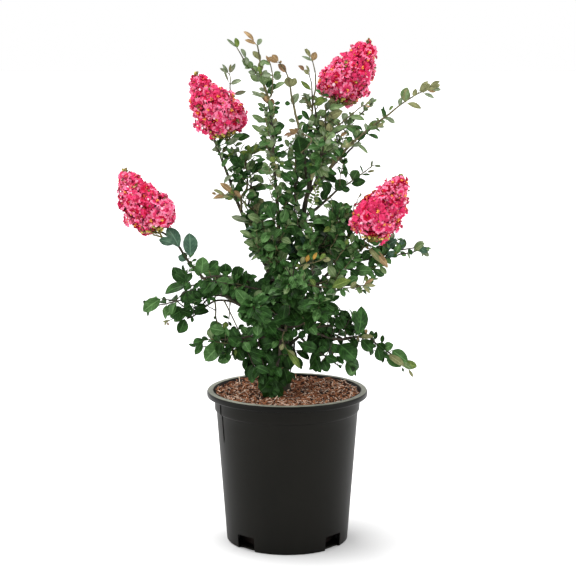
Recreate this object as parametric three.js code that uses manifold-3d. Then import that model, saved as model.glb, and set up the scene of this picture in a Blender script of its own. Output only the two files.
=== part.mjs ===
// Crape myrtle shrub, in flower, in its black nursery pot.
// Millimetres, +Z up, origin in the middle of the pot's flat underside,
// +X to the right of the plant's front, +Y to its back.
//
// The pot and the soil are turned shapes. Each limb and each mass of leaves or
// blossom is a turned profile whose axis is then bent along a smooth curve; a
// mass is also made uneven all round. Pieces that meet are cut back to leave a
// thin gap between them.

import * as THREE from 'three';
import { mergeVertices } from 'three/addons/utils/BufferGeometryUtils.js';
import Module from 'manifold-3d';

// ---- driving dimensions --------------------------------------------------

const GAP = 0.3; // clear space between neighbours
const GROW = 0.55; // how far a cutting copy stands proud

// pot: blow-moulded nursery container
const POT_HEIGHT = 265;
const POT_BASE_R = 106.4;
const POT_BODY_TOP_R = 123.8;
const POT_COLLAR_R = 126.7;
const POT_RIM_R = 140;
const POT_WALL = 2;
const POT_CORNER_R = 1.6;
const COLLAR_HEIGHT = 32.5; // from the step up to the rim's top
const LIP_HEIGHT = 9.5;
const LIP_WIDTH = 11;
const NOTCH_HEIGHT = 25;
const NOTCH_WIDTH = 38;
const NOTCH_ANGLES = [-42, 48, 138, 228]; // degrees round from the front
const POT_SIDES = 35;

// soil
const SOIL_TOP = 262;
const FLOOR = 2.5;

// trunk, from the soil to its fork
const TRUNK_X = -5;
const TRUNK_Y = 5;
const TRUNK_HEIGHT = 128;
const TRUNK_LEAN = -1; // how far its top has moved in X
const TRUNK_FOOT_R = 12.5;
const TRUNK_R = 9;
const TRUNK_FORK_R = 7.4;
const FLARE_HEIGHT = 22;

// Limbs: from, to, how far the middle is bowed out of the straight line,
// the radius at the start and at the end, and the mass that the limb ends in.
const LIMBS = {
  stem_left: { from: [-7, 8, 376], to: [-126, 45, 697], bow: [0, -3, 3], r: [4.4, 2], ends_in: 'panicle_upper_left' },
  stem_spire: { from: [-5, 0, 391], to: [-24, -28, 685], bow: [0, 2, 12], r: [4.6, 2.2], ends_in: 'foliage_spire_low' },
  stem_right: { from: [-4, 5, 390], to: [55, 30, 682], bow: [-3, -6, 12], r: [6, 3.6], ends_in: 'foliage_upper_core' },
  bough_right_mid: { from: [-3, 0, 382], to: [134, -65, 540], bow: [6, -2, 16], r: [3.4, 1.8], ends_in: 'panicle_right' },
  bough_left_arm: { from: [-5, 0, 378], to: [-201, -32, 570], bow: [-39, -6, -11], r: [3.6, 1.7], ends_in: 'panicle_left' },
  bough_left_low: { from: [-6, 0, 351], to: [-132, 15, 430], bow: [0, 2, 20], r: [3, 1.8], ends_in: 'foliage_arm_outer' },
  bough_right_low: { from: [-4, 0, 334], to: [101, -30, 379], bow: [-2, -2, 20], r: [3, 1.6], ends_in: 'foliage_low_arm' },
  bough_right_long: { from: [38, 15, 610], to: [104, -20, 689], bow: [0, 2, -2], r: [3, 1.8], ends_in: 'foliage_right_spray' },
  bough_right_twig: { from: [25, 10, 563], to: [84, 30, 609], bow: [4, 3, 1], r: [2.6, 1.6], ends_in: 'foliage_right_twig' },
  bough_bronze: { from: [37, 12, 614], to: [18, -41, 728], bow: [1, 2, -2], r: [2.6, 1.6], ends_in: 'foliage_bronze_tip' },
  bough_centre: { from: [52, 26, 668], to: [46, 2, 762], bow: [2, 0, 0], r: [2.4, 1.5], ends_in: 'foliage_centre_tip' },
  bough_upper_right: { from: [60, 33, 676], to: [92, 45, 768], bow: [3, 0, 0], r: [2.4, 1.6], ends_in: 'panicle_upper_right' },
  bough_left_tuft: { from: [-121, 43, 684], to: [-97, 63, 766], bow: [2, 3, 0], r: [2, 1.4], ends_in: 'foliage_left_tuft' },
  bough_back_left: { from: [-6, 12, 367], to: [-44, 155, 508], bow: [4, 8, -8], r: [3.4, 1.8], ends_in: 'foliage_back_left' },
  bough_back_right: { from: [-5, 10, 367], to: [67, 150, 494], bow: [0, 10, -6], r: [3.4, 1.8], ends_in: 'foliage_back_right' },
  bough_front: { from: [-5, -5, 352], to: [11, -120, 478], bow: [0, -8, 8], r: [3, 1.8], ends_in: 'foliage_front' },
};

// Masses: from, to, bow, and the radius near the start, in the middle and near
// the end.
const PANICLE_R = [43, 37, 16];
const MASSES = {
  // blossom
  panicle_upper_left: { from: [-99, 46, 698], to: [-157, 42, 811], bow: [0, 0, 0], r: PANICLE_R },
  panicle_left: { from: [-214, -32, 539], to: [-279, -36, 654], bow: [0, 0, 0], r: PANICLE_R },
  panicle_upper_right: { from: [86, 44, 757], to: [145, 58, 870], bow: [0, 0, 0], r: PANICLE_R },
  panicle_right: { from: [138, -66, 535], to: [196, -74, 652], bow: [0, 0, 0], r: PANICLE_R },
  // top of the crown
  foliage_spire_low: { from: [-21, -20, 634], to: [-36, -38, 758], bow: [4, -1, 6], r: [20, 25, 21] },
  foliage_spire_top: { from: [-37, -39, 758], to: [-65, -55, 879], bow: [11, 0, -4], r: [21, 25, 11] },
  foliage_spire_side: { from: [-48, -42, 793], to: [-100, -34, 868], bow: [2, 0, 0], r: [15, 14, 8] },
  foliage_bronze_tip: { from: [17, -38, 712], to: [-28, -60, 842], bow: [12, -3, 5], r: [12, 15, 10] },
  foliage_centre_tip: { from: [46, 2, 752], to: [35, -10, 853], bow: [4, -2, -2], r: [17, 20, 12] },
  foliage_left_tuft: { from: [-97, 62, 757], to: [-101, 70, 829], bow: [0, 0, 1], r: [11, 14, 11] },
  foliage_left_upper: { from: [-68, 22, 590], to: [-100, 45, 698], bow: [18, -4, 3], r: [18, 36, 22] },
  foliage_left_bronze: { from: [-70, 20, 578], to: [-133, -15, 609], bow: [4, -2, 12], r: [13, 15, 9] },
  foliage_upper_core: { from: [36, 22, 631], to: [70, 38, 745], bow: [-2, 0, 2], r: [31, 42, 28] },
  foliage_upper_right: { from: [84, 12, 710], to: [149, 0, 767], bow: [-1, 0, -5], r: [20, 18, 10] },
  foliage_right_spray: { from: [92, -10, 667], to: [166, -38, 743], bow: [0, -1, 2], r: [15, 18, 16] },
  foliage_right_tip: { from: [165, -39, 744], to: [257, -62, 800], bow: [-5, 1, -1], r: [14, 16, 9] },
  foliage_right_twig: { from: [64, 25, 585], to: [165, 48, 658], bow: [-3, 2, 2], r: [16, 21, 8] },
  foliage_inner: { from: [15, 2, 544], to: [15, -20, 676], bow: [-2, -2, -2], r: [16, 20, 16] },
  foliage_back_top: { from: [52, 58, 624], to: [59, 142, 708], bow: [5, 5, 1], r: [24, 32, 20] },
  foliage_front_top: { from: [48, -4, 640], to: [62, -96, 714], bow: [3, -4, 1], r: [23, 29, 19] },
  // middle
  foliage_mid_left: { from: [-2, 0, 478], to: [-62, 5, 594], bow: [-4, -2, -4], r: [38, 46, 30] },
  foliage_mid_right: { from: [25, -10, 482], to: [98, -38, 596], bow: [6, -3, -1], r: [42, 52, 30] },
  foliage_right_reach: { from: [108, -46, 498], to: [245, -48, 521], bow: [-3, -3, -4], r: [28, 27, 9] },
  foliage_right_wand: { from: [45, -46, 461], to: [153, -88, 463], bow: [-2, -4, -3], r: [22, 20, 9] },
  foliage_arm_inner: { from: [-29, -15, 441], to: [-138, -30, 462], bow: [-1, -2, 1], r: [22, 22, 24] },
  foliage_arm_outer: { from: [-142, 0, 440], to: [-260, 15, 404], bow: [2, 0, -4], r: [46, 40, 12] },
  foliage_arm_tip: { from: [-158, -30, 488], to: [-204, -34, 546], bow: [3, -2, 2], r: [17, 23, 18] },
  foliage_back_left: { from: [-28, 84, 456], to: [-52, 168, 526], bow: [1, 2, 1], r: [31, 44, 27] },
  foliage_back_right: { from: [39, 84, 456], to: [81, 172, 521], bow: [2, 5, -1], r: [31, 46, 28] },
  foliage_front: { from: [0, -66, 424], to: [12, -152, 508], bow: [1, -5, 3], r: [28, 40, 24] },
  // low
  foliage_core: { from: [-9, 0, 340], to: [-10, 0, 462], bow: [-3, 0, -2], r: [50, 60, 50] },
  foliage_back_low_left: { from: [-18, 46, 364], to: [-42, 142, 404], bow: [-3, 0, -5], r: [28, 40, 25] },
  foliage_back_low_right: { from: [21, 46, 364], to: [62, 142, 396], bow: [2, 0, 4], r: [28, 40, 25] },
  foliage_front_left: { from: [-30, -52, 390], to: [-56, -152, 442], bow: [-7, 0, 0], r: [27, 36, 22] },
  foliage_front_right: { from: [26, -52, 386], to: [56, -147, 446], bow: [3, -2, 1], r: [27, 36, 22] },
  foliage_low_left: { from: [-40, -10, 364], to: [-166, -30, 346], bow: [4, -2, -6], r: [40, 38, 16] },
  foliage_low_right: { from: [36, 0, 398], to: [117, -22, 300], bow: [4, 1, -3], r: [38, 36, 17] },
  foliage_low_arm: { from: [76, -30, 372], to: [223, -40, 301], bow: [5, -1, 13], r: [21, 20, 11] },
  foliage_paddle: { from: [122, -48, 382], to: [127, -54, 424], bow: [0, 0, -1], r: [11, 15, 11] },
  foliage_foot: { from: [-10, -22, 331], to: [-27, -50, 266], bow: [-6, -2, 0], r: [25, 27, 15] },
  foliage_foot_right: { from: [12, -6, 346], to: [2, -16, 287], bow: [2, -1, 0], r: [15, 19, 12] },
};

const LIMB_SIDES = 6;
const LIMB_RINGS = 4;
const CUTTER_SIDES = 5; // a limb's cutting copy is coarser and a little wider
const MASS_SIDES = 8;
const MASS_RINGS = [0.06, 0.23, 0.5, 0.77, 0.94];
const MASS_CAP = 0.26; // share of a mass's length taken by each rounded end
const UNEVEN = 0.13; // how far a mass's radius wanders, as a share of it

const COLOURS = {
  pot: 0x232423,
  soil: 0x54382b,
  wood: 0x6e5240,
  leaf: 0x2f5a35,
  young_leaf: 0x5d5a34,
  blossom: 0xe0265f,
};

// ---- helpers -------------------------------------------------------------

const wasm = await Module();
wasm.setup();

const vec = (a) => new THREE.Vector3(...a);

// small seeded generator, so that every build gives the same shape
function seeded(text) {
  let h = 2166136261;
  for (const c of text) h = Math.imul(h ^ c.charCodeAt(0), 16777619) >>> 0;
  return () => {
    h = (h + 0x6d2b79f5) >>> 0;
    let t = Math.imul(h ^ (h >>> 15), 1 | h);
    t = (t + Math.imul(t ^ (t >>> 7), 61 | t)) ^ t;
    return ((t ^ (t >>> 14)) >>> 0) / 4294967296;
  };
}

// closed geometry, with merged vertices and its faces pointing out, as a solid
function solid(geometry) {
  const g = geometry.clone();
  g.deleteAttribute('normal');
  g.deleteAttribute('uv');
  const merged = mergeVertices(g, 1e-4);
  const p = merged.attributes.position.array;
  const idx = merged.index.array;
  const tris = [];
  let volume = 0;
  for (let i = 0; i < idx.length; i += 3) {
    const [a, b, c] = [idx[i], idx[i + 1], idx[i + 2]];
    if (a === b || b === c || c === a) continue;
    tris.push(a, b, c);
    const [x, y, z] = [a, b, c].map((k) => new THREE.Vector3(p[3 * k], p[3 * k + 1], p[3 * k + 2]));
    volume += x.dot(y.cross(z)) / 6;
  }
  if (volume < 0) {
    for (let i = 0; i < tris.length; i += 3) [tris[i + 1], tris[i + 2]] = [tris[i + 2], tris[i + 1]];
  }
  return new wasm.Manifold(new wasm.Mesh({
    numProp: 3,
    vertProperties: Float32Array.from(p),
    triVerts: Uint32Array.from(tris),
  }));
}

// back from a solid to a geometry with flat shading
function geometryOf(manifold) {
  const mesh = manifold.getMesh();
  const g = new THREE.BufferGeometry();
  const n = mesh.numProp;
  const count = mesh.vertProperties.length / n;
  const pos = new Float32Array(count * 3);
  for (let i = 0; i < count; i++) for (let k = 0; k < 3; k++) pos[3 * i + k] = mesh.vertProperties[n * i + k];
  g.setAttribute('position', new THREE.BufferAttribute(pos, 3));
  g.setIndex(new THREE.BufferAttribute(Uint32Array.from(mesh.triVerts), 1));
  g.computeVertexNormals();
  return g;
}

// the largest separate body of a solid
function largest(manifold) {
  const bodies = manifold.decompose();
  if (bodies.length < 2) return manifold;
  return bodies.sort((a, b) => b.volume() - a.volume())[0];
}

// the separate body that lies nearest to a point
function nearest(manifold, point) {
  const bodies = manifold.decompose().filter((b) => b.volume() > 20);
  const away = (b) => {
    const m = b.getMesh();
    let best = Infinity;
    for (let i = 0; i < m.vertProperties.length; i += m.numProp) {
      const v = new THREE.Vector3(m.vertProperties[i], m.vertProperties[i + 1], m.vertProperties[i + 2]);
      best = Math.min(best, v.distanceTo(point));
    }
    return best;
  };
  return bodies.sort((a, b) => away(a) - away(b))[0];
}

// a three-point curve whose middle is bowed out of the straight line, run on
// straight past its ends by the two lengths in run_on
function bowedCurve(from, to, bow, runOn = [0, 0]) {
  const a = vec(from);
  const b = vec(to);
  const m = a.clone().add(b).multiplyScalar(0.5).add(vec(bow));
  const start = a.clone().add(a.clone().sub(m).setLength(runOn[0] || 1e-9));
  const end = b.clone().add(b.clone().sub(m).setLength(runOn[1] || 1e-9));
  return new THREE.QuadraticBezierCurve3(start, m.clone().multiplyScalar(2).sub(start.clone().add(end).multiplyScalar(0.5)), end);
}

// Turned profile, rows of [radius, share of the length], bent along a curve.
// wobble(angle, share) multiplies the radius.
function bentLathe(profile, sides, curve, wobble = () => 1) {
  const points = profile.map(([r, s]) => new THREE.Vector2(r, s));
  const g = new THREE.LatheGeometry(points, sides);
  const steps = 60;
  const frames = curve.computeFrenetFrames(steps, false);
  const pos = g.attributes.position;
  for (let i = 0; i < pos.count; i++) {
    const [x, s, z] = [pos.getX(i), pos.getY(i), pos.getZ(i)];
    const t = THREE.MathUtils.clamp(s, 0, 1);
    const k = Math.round(t * steps);
    const r = Math.hypot(x, z);
    const w = r > 1e-6 ? wobble(Math.atan2(z, x), t) : 1;
    const p = curve.getPointAt(t)
      .addScaledVector(frames.normals[k], x * w)
      .addScaledVector(frames.binormals[k], z * w);
    pos.setXYZ(i, p.x, p.y, p.z);
  }
  return g;
}

// One tapering limb with a rounded end at each side
function limb({ from, to, bow, r }, grow = 0) {
  const curve = bowedCurve(from, to, bow, [grow, grow]);
  const sides = grow ? CUTTER_SIDES : LIMB_SIDES;
  const wider = grow ? 1 / Math.cos(Math.PI / CUTTER_SIDES) : 1;
  const profile = [[0, 0]];
  for (let i = 0; i < LIMB_RINGS; i++) {
    const s = THREE.MathUtils.lerp(0.004, 0.985, i / (LIMB_RINGS - 1));
    profile.push([(THREE.MathUtils.lerp(r[0], r[1], s) + grow) * wider, s]);
  }
  profile.push([0, 1]);
  return solid(bentLathe(profile, sides, curve));
}

// One closed, uneven mass
function mass(name, { from, to, bow, r }, grow = 0) {
  const rand = seeded(name);
  const waves = [1, 2, 3, 4].map((k) => ({
    k,
    m: 1 + Math.floor(rand() * 3),
    a: (0.5 + rand()) / 3.2,
    p: rand() * Math.PI * 2,
    q: rand() * Math.PI * 2,
  }));
  const wobble = (angle, s) => {
    let v = 0;
    for (const w of waves) v += w.a * Math.sin(w.k * angle + w.p) * Math.cos(w.m * Math.PI * s + w.q);
    return 1 + UNEVEN * v * 1.6;
  };
  const blossom = r === PANICLE_R;
  const runOn = [(blossom ? 0 : 0.5 * r[0]) + grow, (blossom ? 0 : Math.max(0, r[2] - 12) * 0.7) + grow];
  const curve = bowedCurve(from, to, bow, runOn);
  const profile = [[0, 0]];
  for (const s of MASS_RINGS) {
    const body = s < 0.5
      ? THREE.MathUtils.lerp(r[0], r[1], THREE.MathUtils.smoothstep(s, 0.05, 0.5))
      : THREE.MathUtils.lerp(r[1], r[2], THREE.MathUtils.smoothstep(s, 0.5, 0.95));
    const edge = Math.min(s, 1 - s) / MASS_CAP;
    const cap = edge < 1 ? Math.sqrt(1 - (1 - edge) ** 2) : 1;
    profile.push([body * cap * (1 + 0.1 * (rand() - 0.5)) + grow, s]);
  }
  profile.push([0, 1]);
  return solid(bentLathe(profile, MASS_SIDES, curve, wobble));
}

// ---- pot and soil --------------------------------------------------------

const stepZ = POT_HEIGHT - COLLAR_HEIGHT;
const lipZ = POT_HEIGHT - LIP_HEIGHT;
const lipInnerR = POT_RIM_R - LIP_WIDTH;
const slope = (POT_BODY_TOP_R - POT_BASE_R) / stepZ;
const wallR = (z) => POT_BASE_R + slope * z; // outside of the straight wall

const potProfile = [
  [0, 0],
  [POT_BASE_R - POT_CORNER_R, 0],
  [wallR(POT_CORNER_R), POT_CORNER_R],
  [POT_BODY_TOP_R, stepZ - 2],
  [POT_COLLAR_R - 0.3, stepZ],
  [POT_COLLAR_R + 0.3, lipZ - 1],
  [POT_RIM_R - 2, lipZ],
  [POT_RIM_R, lipZ + 2],
  [POT_RIM_R, POT_HEIGHT - 1.2],
  [POT_RIM_R - 1.2, POT_HEIGHT],
  [lipInnerR, POT_HEIGHT],
  [lipInnerR - 3, POT_HEIGHT - 4.5],
  [POT_COLLAR_R - POT_WALL, lipZ - 1],
  [POT_COLLAR_R - POT_WALL, stepZ + 2],
  [POT_BODY_TOP_R - POT_WALL - 0.2, stepZ - 3],
  [wallR(FLOOR) - POT_WALL - 2, FLOOR],
  [0, FLOOR],
];

// turned about +Z
function turned(profile, sides) {
  const g = new THREE.LatheGeometry(profile.map(([r, z]) => new THREE.Vector2(r, z)), sides);
  g.rotateX(Math.PI / 2);
  return g;
}

function makePot() {
  let pot = solid(turned(potProfile, POT_SIDES));
  for (const angle of NOTCH_ANGLES) {
    const box = new THREE.BoxGeometry(NOTCH_WIDTH, 16, NOTCH_HEIGHT + 5);
    box.translate(0, -(POT_BASE_R + 1), (NOTCH_HEIGHT - 5) / 2);
    box.rotateZ(THREE.MathUtils.degToRad(angle));
    pot = pot.subtract(solid(box));
  }
  return pot;
}

const soilProfile = [
  [0, FLOOR + GAP],
  [wallR(FLOOR) - POT_WALL - 2 - 1.2, FLOOR + GAP],
  [POT_BODY_TOP_R - POT_WALL - GAP - 0.4, stepZ - 3],
  [POT_COLLAR_R - POT_WALL - GAP - 0.2, stepZ + 2],
  [POT_COLLAR_R - POT_WALL - GAP - 0.2, lipZ - 1],
  [lipInnerR - 3.8, SOIL_TOP - 3],
  [100, SOIL_TOP - 0.8],
  [0, SOIL_TOP],
];

// ---- trunk ---------------------------------------------------------------

function makeTrunk(grow = 0) {
  const foot = SOIL_TOP + GAP;
  const curve = bowedCurve(
    [TRUNK_X, TRUNK_Y, foot],
    [TRUNK_X + TRUNK_LEAN, TRUNK_Y, SOIL_TOP + TRUNK_HEIGHT],
    [0.5, 0, 0],
    [0, grow],
  );
  const profile = [[0, 0], [TRUNK_FOOT_R + grow, 0]];
  const rings = 8;
  for (let i = 1; i <= rings; i++) {
    const s = (0.97 * i) / rings;
    const flare = Math.exp((-s * TRUNK_HEIGHT) / (FLARE_HEIGHT * 0.5));
    const r = THREE.MathUtils.lerp(TRUNK_R, TRUNK_FORK_R, s) + (TRUNK_FOOT_R - TRUNK_R) * flare;
    profile.push([r + grow, s]);
  }
  profile.push([0, 1]);
  // the flare runs out into low buttresses above the roots
  const buttress = (angle, s) => 1 + 0.14 * Math.exp(-s * 7) * Math.sin(3 * angle + 0.6);
  return solid(bentLathe(profile, 11, curve, buttress));
}

// ---- assembly ------------------------------------------------------------

const trunk = makeTrunk();
const soil = solid(turned(soilProfile, POT_SIDES));
const pot = makePot();

const pieces = new Map();
pieces.set('pot', { body: pot, colour: COLOURS.pot, roughness: 0.42 });
pieces.set('soil', { body: soil, colour: COLOURS.soil, roughness: 0.95 });
pieces.set('trunk', { body: trunk, colour: COLOURS.wood, roughness: 0.8 });

// Each limb is cut back from the trunk, from the limbs before it and from the
// mass that it ends in.
const limbCutters = [makeTrunk(GROW)];
const limbNames = Object.keys(LIMBS);
for (const name of limbNames) {
  const spec = LIMBS[name];
  let body = limb(spec);
  for (const cutter of limbCutters) body = body.subtract(cutter);
  if (spec.ends_in) body = body.subtract(mass(spec.ends_in, MASSES[spec.ends_in], GROW));
  const start = vec(spec.from);
  pieces.set(name, { body: nearest(body, start), colour: COLOURS.wood, roughness: 0.75 });
  limbCutters.push(limb(spec, GROW));
}

// Each mass is cut round the trunk and the limbs that run through it, and back
// from the masses before it. A limb that ends in it is left out: the limb gives
// way there.
const massCutters = [];
const overlaps = (a, b) => {
  const [p, q] = [a.boundingBox(), b.boundingBox()];
  return [0, 1, 2].every((k) => p.min[k] < q.max[k] && q.min[k] < p.max[k]);
};
for (const name of Object.keys(MASSES)) {
  let body = mass(name, MASSES[name]);
  const cut = (cutter) => {
    if (overlaps(body, cutter)) body = body.subtract(cutter);
  };
  cut(limbCutters[0]);
  limbNames.forEach((limbName, i) => {
    if (LIMBS[limbName].ends_in !== name) cut(limbCutters[i + 1]);
  });
  massCutters.forEach(cut);
  const blossom = name.startsWith('panicle');
  const young = /bronze|tip|tuft|side/.test(name);
  pieces.set(name, {
    body: largest(body),
    colour: blossom ? COLOURS.blossom : young ? COLOURS.young_leaf : COLOURS.leaf,
    roughness: 0.6,
  });
  massCutters.push(mass(name, MASSES[name], GROW));
}

const group = new THREE.Group();
for (const [name, { body, colour, roughness }] of pieces) {
  const material = new THREE.MeshStandardMaterial({ color: colour, roughness, metalness: 0, flatShading: true });
  const mesh = new THREE.Mesh(geometryOf(body), material);
  mesh.name = name;
  group.add(mesh);
}

export default group;
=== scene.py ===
# Crape myrtle in its black nursery pot: the looks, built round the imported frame.
# Sizes in the tables are millimetres in the frame, unless a name says otherwise.
import math

import bmesh
import bpy
import numpy as np
from mathutils import Matrix, Vector, noise


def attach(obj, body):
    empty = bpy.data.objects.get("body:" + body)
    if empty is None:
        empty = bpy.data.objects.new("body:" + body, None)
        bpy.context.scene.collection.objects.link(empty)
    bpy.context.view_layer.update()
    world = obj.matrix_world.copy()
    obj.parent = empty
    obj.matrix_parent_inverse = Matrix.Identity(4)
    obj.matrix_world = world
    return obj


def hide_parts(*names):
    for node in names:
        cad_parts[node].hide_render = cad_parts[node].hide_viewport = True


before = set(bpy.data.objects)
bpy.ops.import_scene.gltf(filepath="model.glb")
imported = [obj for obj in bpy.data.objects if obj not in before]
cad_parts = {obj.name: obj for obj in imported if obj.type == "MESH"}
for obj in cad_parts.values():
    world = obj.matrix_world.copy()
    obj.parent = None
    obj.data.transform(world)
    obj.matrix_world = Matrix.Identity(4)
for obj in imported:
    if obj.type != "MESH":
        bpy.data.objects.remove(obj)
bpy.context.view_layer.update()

MM = 0.001
rng = np.random.default_rng(20417)

# ---- the viewpoint -------------------------------------------------------
CAM_POS = np.array([1.4, -2525.0, 826.0])
CAM_PITCH = math.radians(8.6)
CAM_F = 1477.0                      # focal length in pixels of the 576-pixel frame


def unit(v):
    v = np.asarray(v, float)
    n = np.linalg.norm(v, axis=-1, keepdims=True)
    return v / np.maximum(n, 1e-9)


# ---- where the crown is open -------------------------------------------------
# Gaps between the sprays, each as a circle where the line of sight crosses the
# plane y = 0: x, z, radius.
OPEN = np.array([
    (59, 577, 6), (86, 589, 7), (51, 297, 10),
    (-94, 305, 15), (105, 420, 15), (136, 317, 16), (-62, 483, 15), (-10, 775, 12), (-124, 298, 16), (117, 672, 15),
    (-100, 585, 14), (119, 425, 15), (-2, 746, 12), (-150, 383, 15), (152, 631, 13), (151, 383, 14), (106, 602, 10),
    (-66, 794, 13), (218, 538, 14), (31, 317, 9), (-229, 395, 14), (-35, 607, 10), (-165, 370, 14), (-108, 301, 12),
    (-182, 550, 12), (198, 493, 13), (-65, 763, 11), (82, 301, 9), (-56, 709, 9), (144, 745, 12), (-137, 400, 11),
    (-200, 505, 12), (-137, 692, 12), (-35, 633, 9), (-140, 512, 12), (-10, 738, 9), (96, 602, 9), (-115, 407, 10),
    (-45, 470, 9), (-209, 462, 12), (90, 418, 9), (114, 609, 9), (20, 789, 9), (-159, 463, 7), (-84, 554, 10),
    (-53, 750, 8), (-161, 456, 7), (130, 331, 9), (-125, 667, 11), (179, 301, 11), (97, 296, 8), (-146, 369, 11),
    (-71, 512, 11), (-223, 442, 11), (142, 621, 9), (-130, 505, 10), (33, 303, 7), (138, 696, 10), (-63, 716, 8),
    (-117, 638, 10), (65, 578, 7), (89, 296, 7), (132, 291, 10), (189, 538, 7), (10, 815, 9), (-199, 493, 10),
    (103, 752, 7), (-81, 300, 7), (-114, 500, 10), (-92, 491, 10), (111, 658, 9), (23, 758, 7), (85, 604, 7),
    (22, 809, 8), (-5, 716, 7), (55, 383, 9), (67, 383, 9), (17, 360, 10), (27, 360, 10), (-26, 392, 8), (70, 472, 7),
    (-64, 434, 5), (-33, 435, 4), (39, 665, 5), (-61, 489, 10), (-50, 489, 9), (203, 510, 9), (122, 453, 9),
    (152, 449, 9), (87, 340, 9), (97, 317, 7), (26, 370, 9), (-169, 331, 10), (-152, 335, 10), (-134, 335, 10),
    (136, 743, 8), (168, 554, 9), (-42, 472, 7), (-49, 484, 7), (-74, 548, 5), (-69, 519, 7), (222, 500, 9),
    (134, 768, 10), (127, 775, 7), (97, 435, 7),
    (34, 610, 5), (31, 597, 6), (27, 583, 6), (-83, 413, 7), (-75, 381, 7), (42, 614, 5), (-78, 529, 6), (-66, 514, 6), (-143, 342, 6), (-153, 335, 5), (-64, 535, 4),
    (64, 783, 8), (99, 296, 10),
    (119, 731, 7), (29, 362, 8), (14, 307, 8), (25, 631, 7), (-84, 393, 8),
    (95, 434, 7), (129, 432, 7), (142, 430, 6),
    (-9, 694, 6), (-44, 745, 6), (67, 576, 7), (-136, 358, 5), (-150, 335, 5), (104, 303, 6), (5, 344, 5), (121, 460, 5),
    (-71, 500, 7),
], float)


def in_gap(points, inset=1.5):
    """Whether any of these points shows in one of the gaps."""
    p = np.atleast_2d(points)
    k = -CAM_POS[1] / (p[:, 1] - CAM_POS[1])
    x = CAM_POS[0] + (p[:, 0] - CAM_POS[0]) * k
    z = CAM_POS[2] + (p[:, 2] - CAM_POS[2]) * k
    return bool((np.hypot(x[:, None] - OPEN[:, 0], z[:, None] - OPEN[:, 1]) < OPEN[:, 2] - inset).any())


# ---- limbs and masses, as in the frame -------------------------------------
SOIL_TOP = 262.0
TRUNK = dict(a=(-5, 5, 262.3), b=(-6, 5, 390), r0=9.0, r1=7.4, foot=12.5)
LIMBS = {
    "stem_left": ((-7, 8, 376), (-126, 45, 697), (0, -3, 3), (4.4, 2.0)),
    "stem_spire": ((-5, 0, 391), (-24, -28, 685), (0, 2, 12), (4.6, 2.2)),
    "stem_right": ((-4, 5, 390), (55, 30, 682), (-3, -6, 12), (6, 3.6)),
    "bough_right_mid": ((-3, 0, 382), (134, -65, 540), (6, -2, 16), (3.4, 1.8)),
    "bough_left_arm": ((-5, 0, 378), (-201, -32, 570), (-39, -6, -11), (3.6, 1.7)),
    "bough_left_low": ((-6, 0, 351), (-132, 15, 430), (0, 2, 20), (3, 1.8)),
    "bough_right_low": ((-4, 0, 334), (101, -30, 379), (-2, -2, 20), (3, 1.6)),
    "bough_right_long": ((38, 15, 610), (104, -20, 689), (0, 2, -2), (3, 1.8)),
    "bough_right_twig": ((25, 10, 563), (84, 30, 609), (4, 3, 1), (2.6, 1.6)),
    "bough_bronze": ((37, 12, 614), (18, -41, 728), (1, 2, -2), (2.6, 1.6)),
    "bough_centre": ((52, 26, 668), (46, 2, 762), (2, 0, 0), (2.4, 1.5)),
    "bough_upper_right": ((60, 33, 676), (92, 45, 768), (3, 0, 0), (2.4, 1.6)),
    "bough_left_tuft": ((-121, 43, 684), (-97, 63, 766), (2, 3, 0), (2, 1.4)),
    "bough_back_left": ((-6, 12, 367), (-44, 155, 508), (4, 8, -8), (3.4, 1.8)),
    "bough_back_right": ((-5, 10, 367), (67, 150, 494), (0, 10, -6), (3.4, 1.8)),
    "bough_front": ((-5, -5, 352), (11, -120, 478), (0, -8, 8), (3, 1.8)),
}
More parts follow.
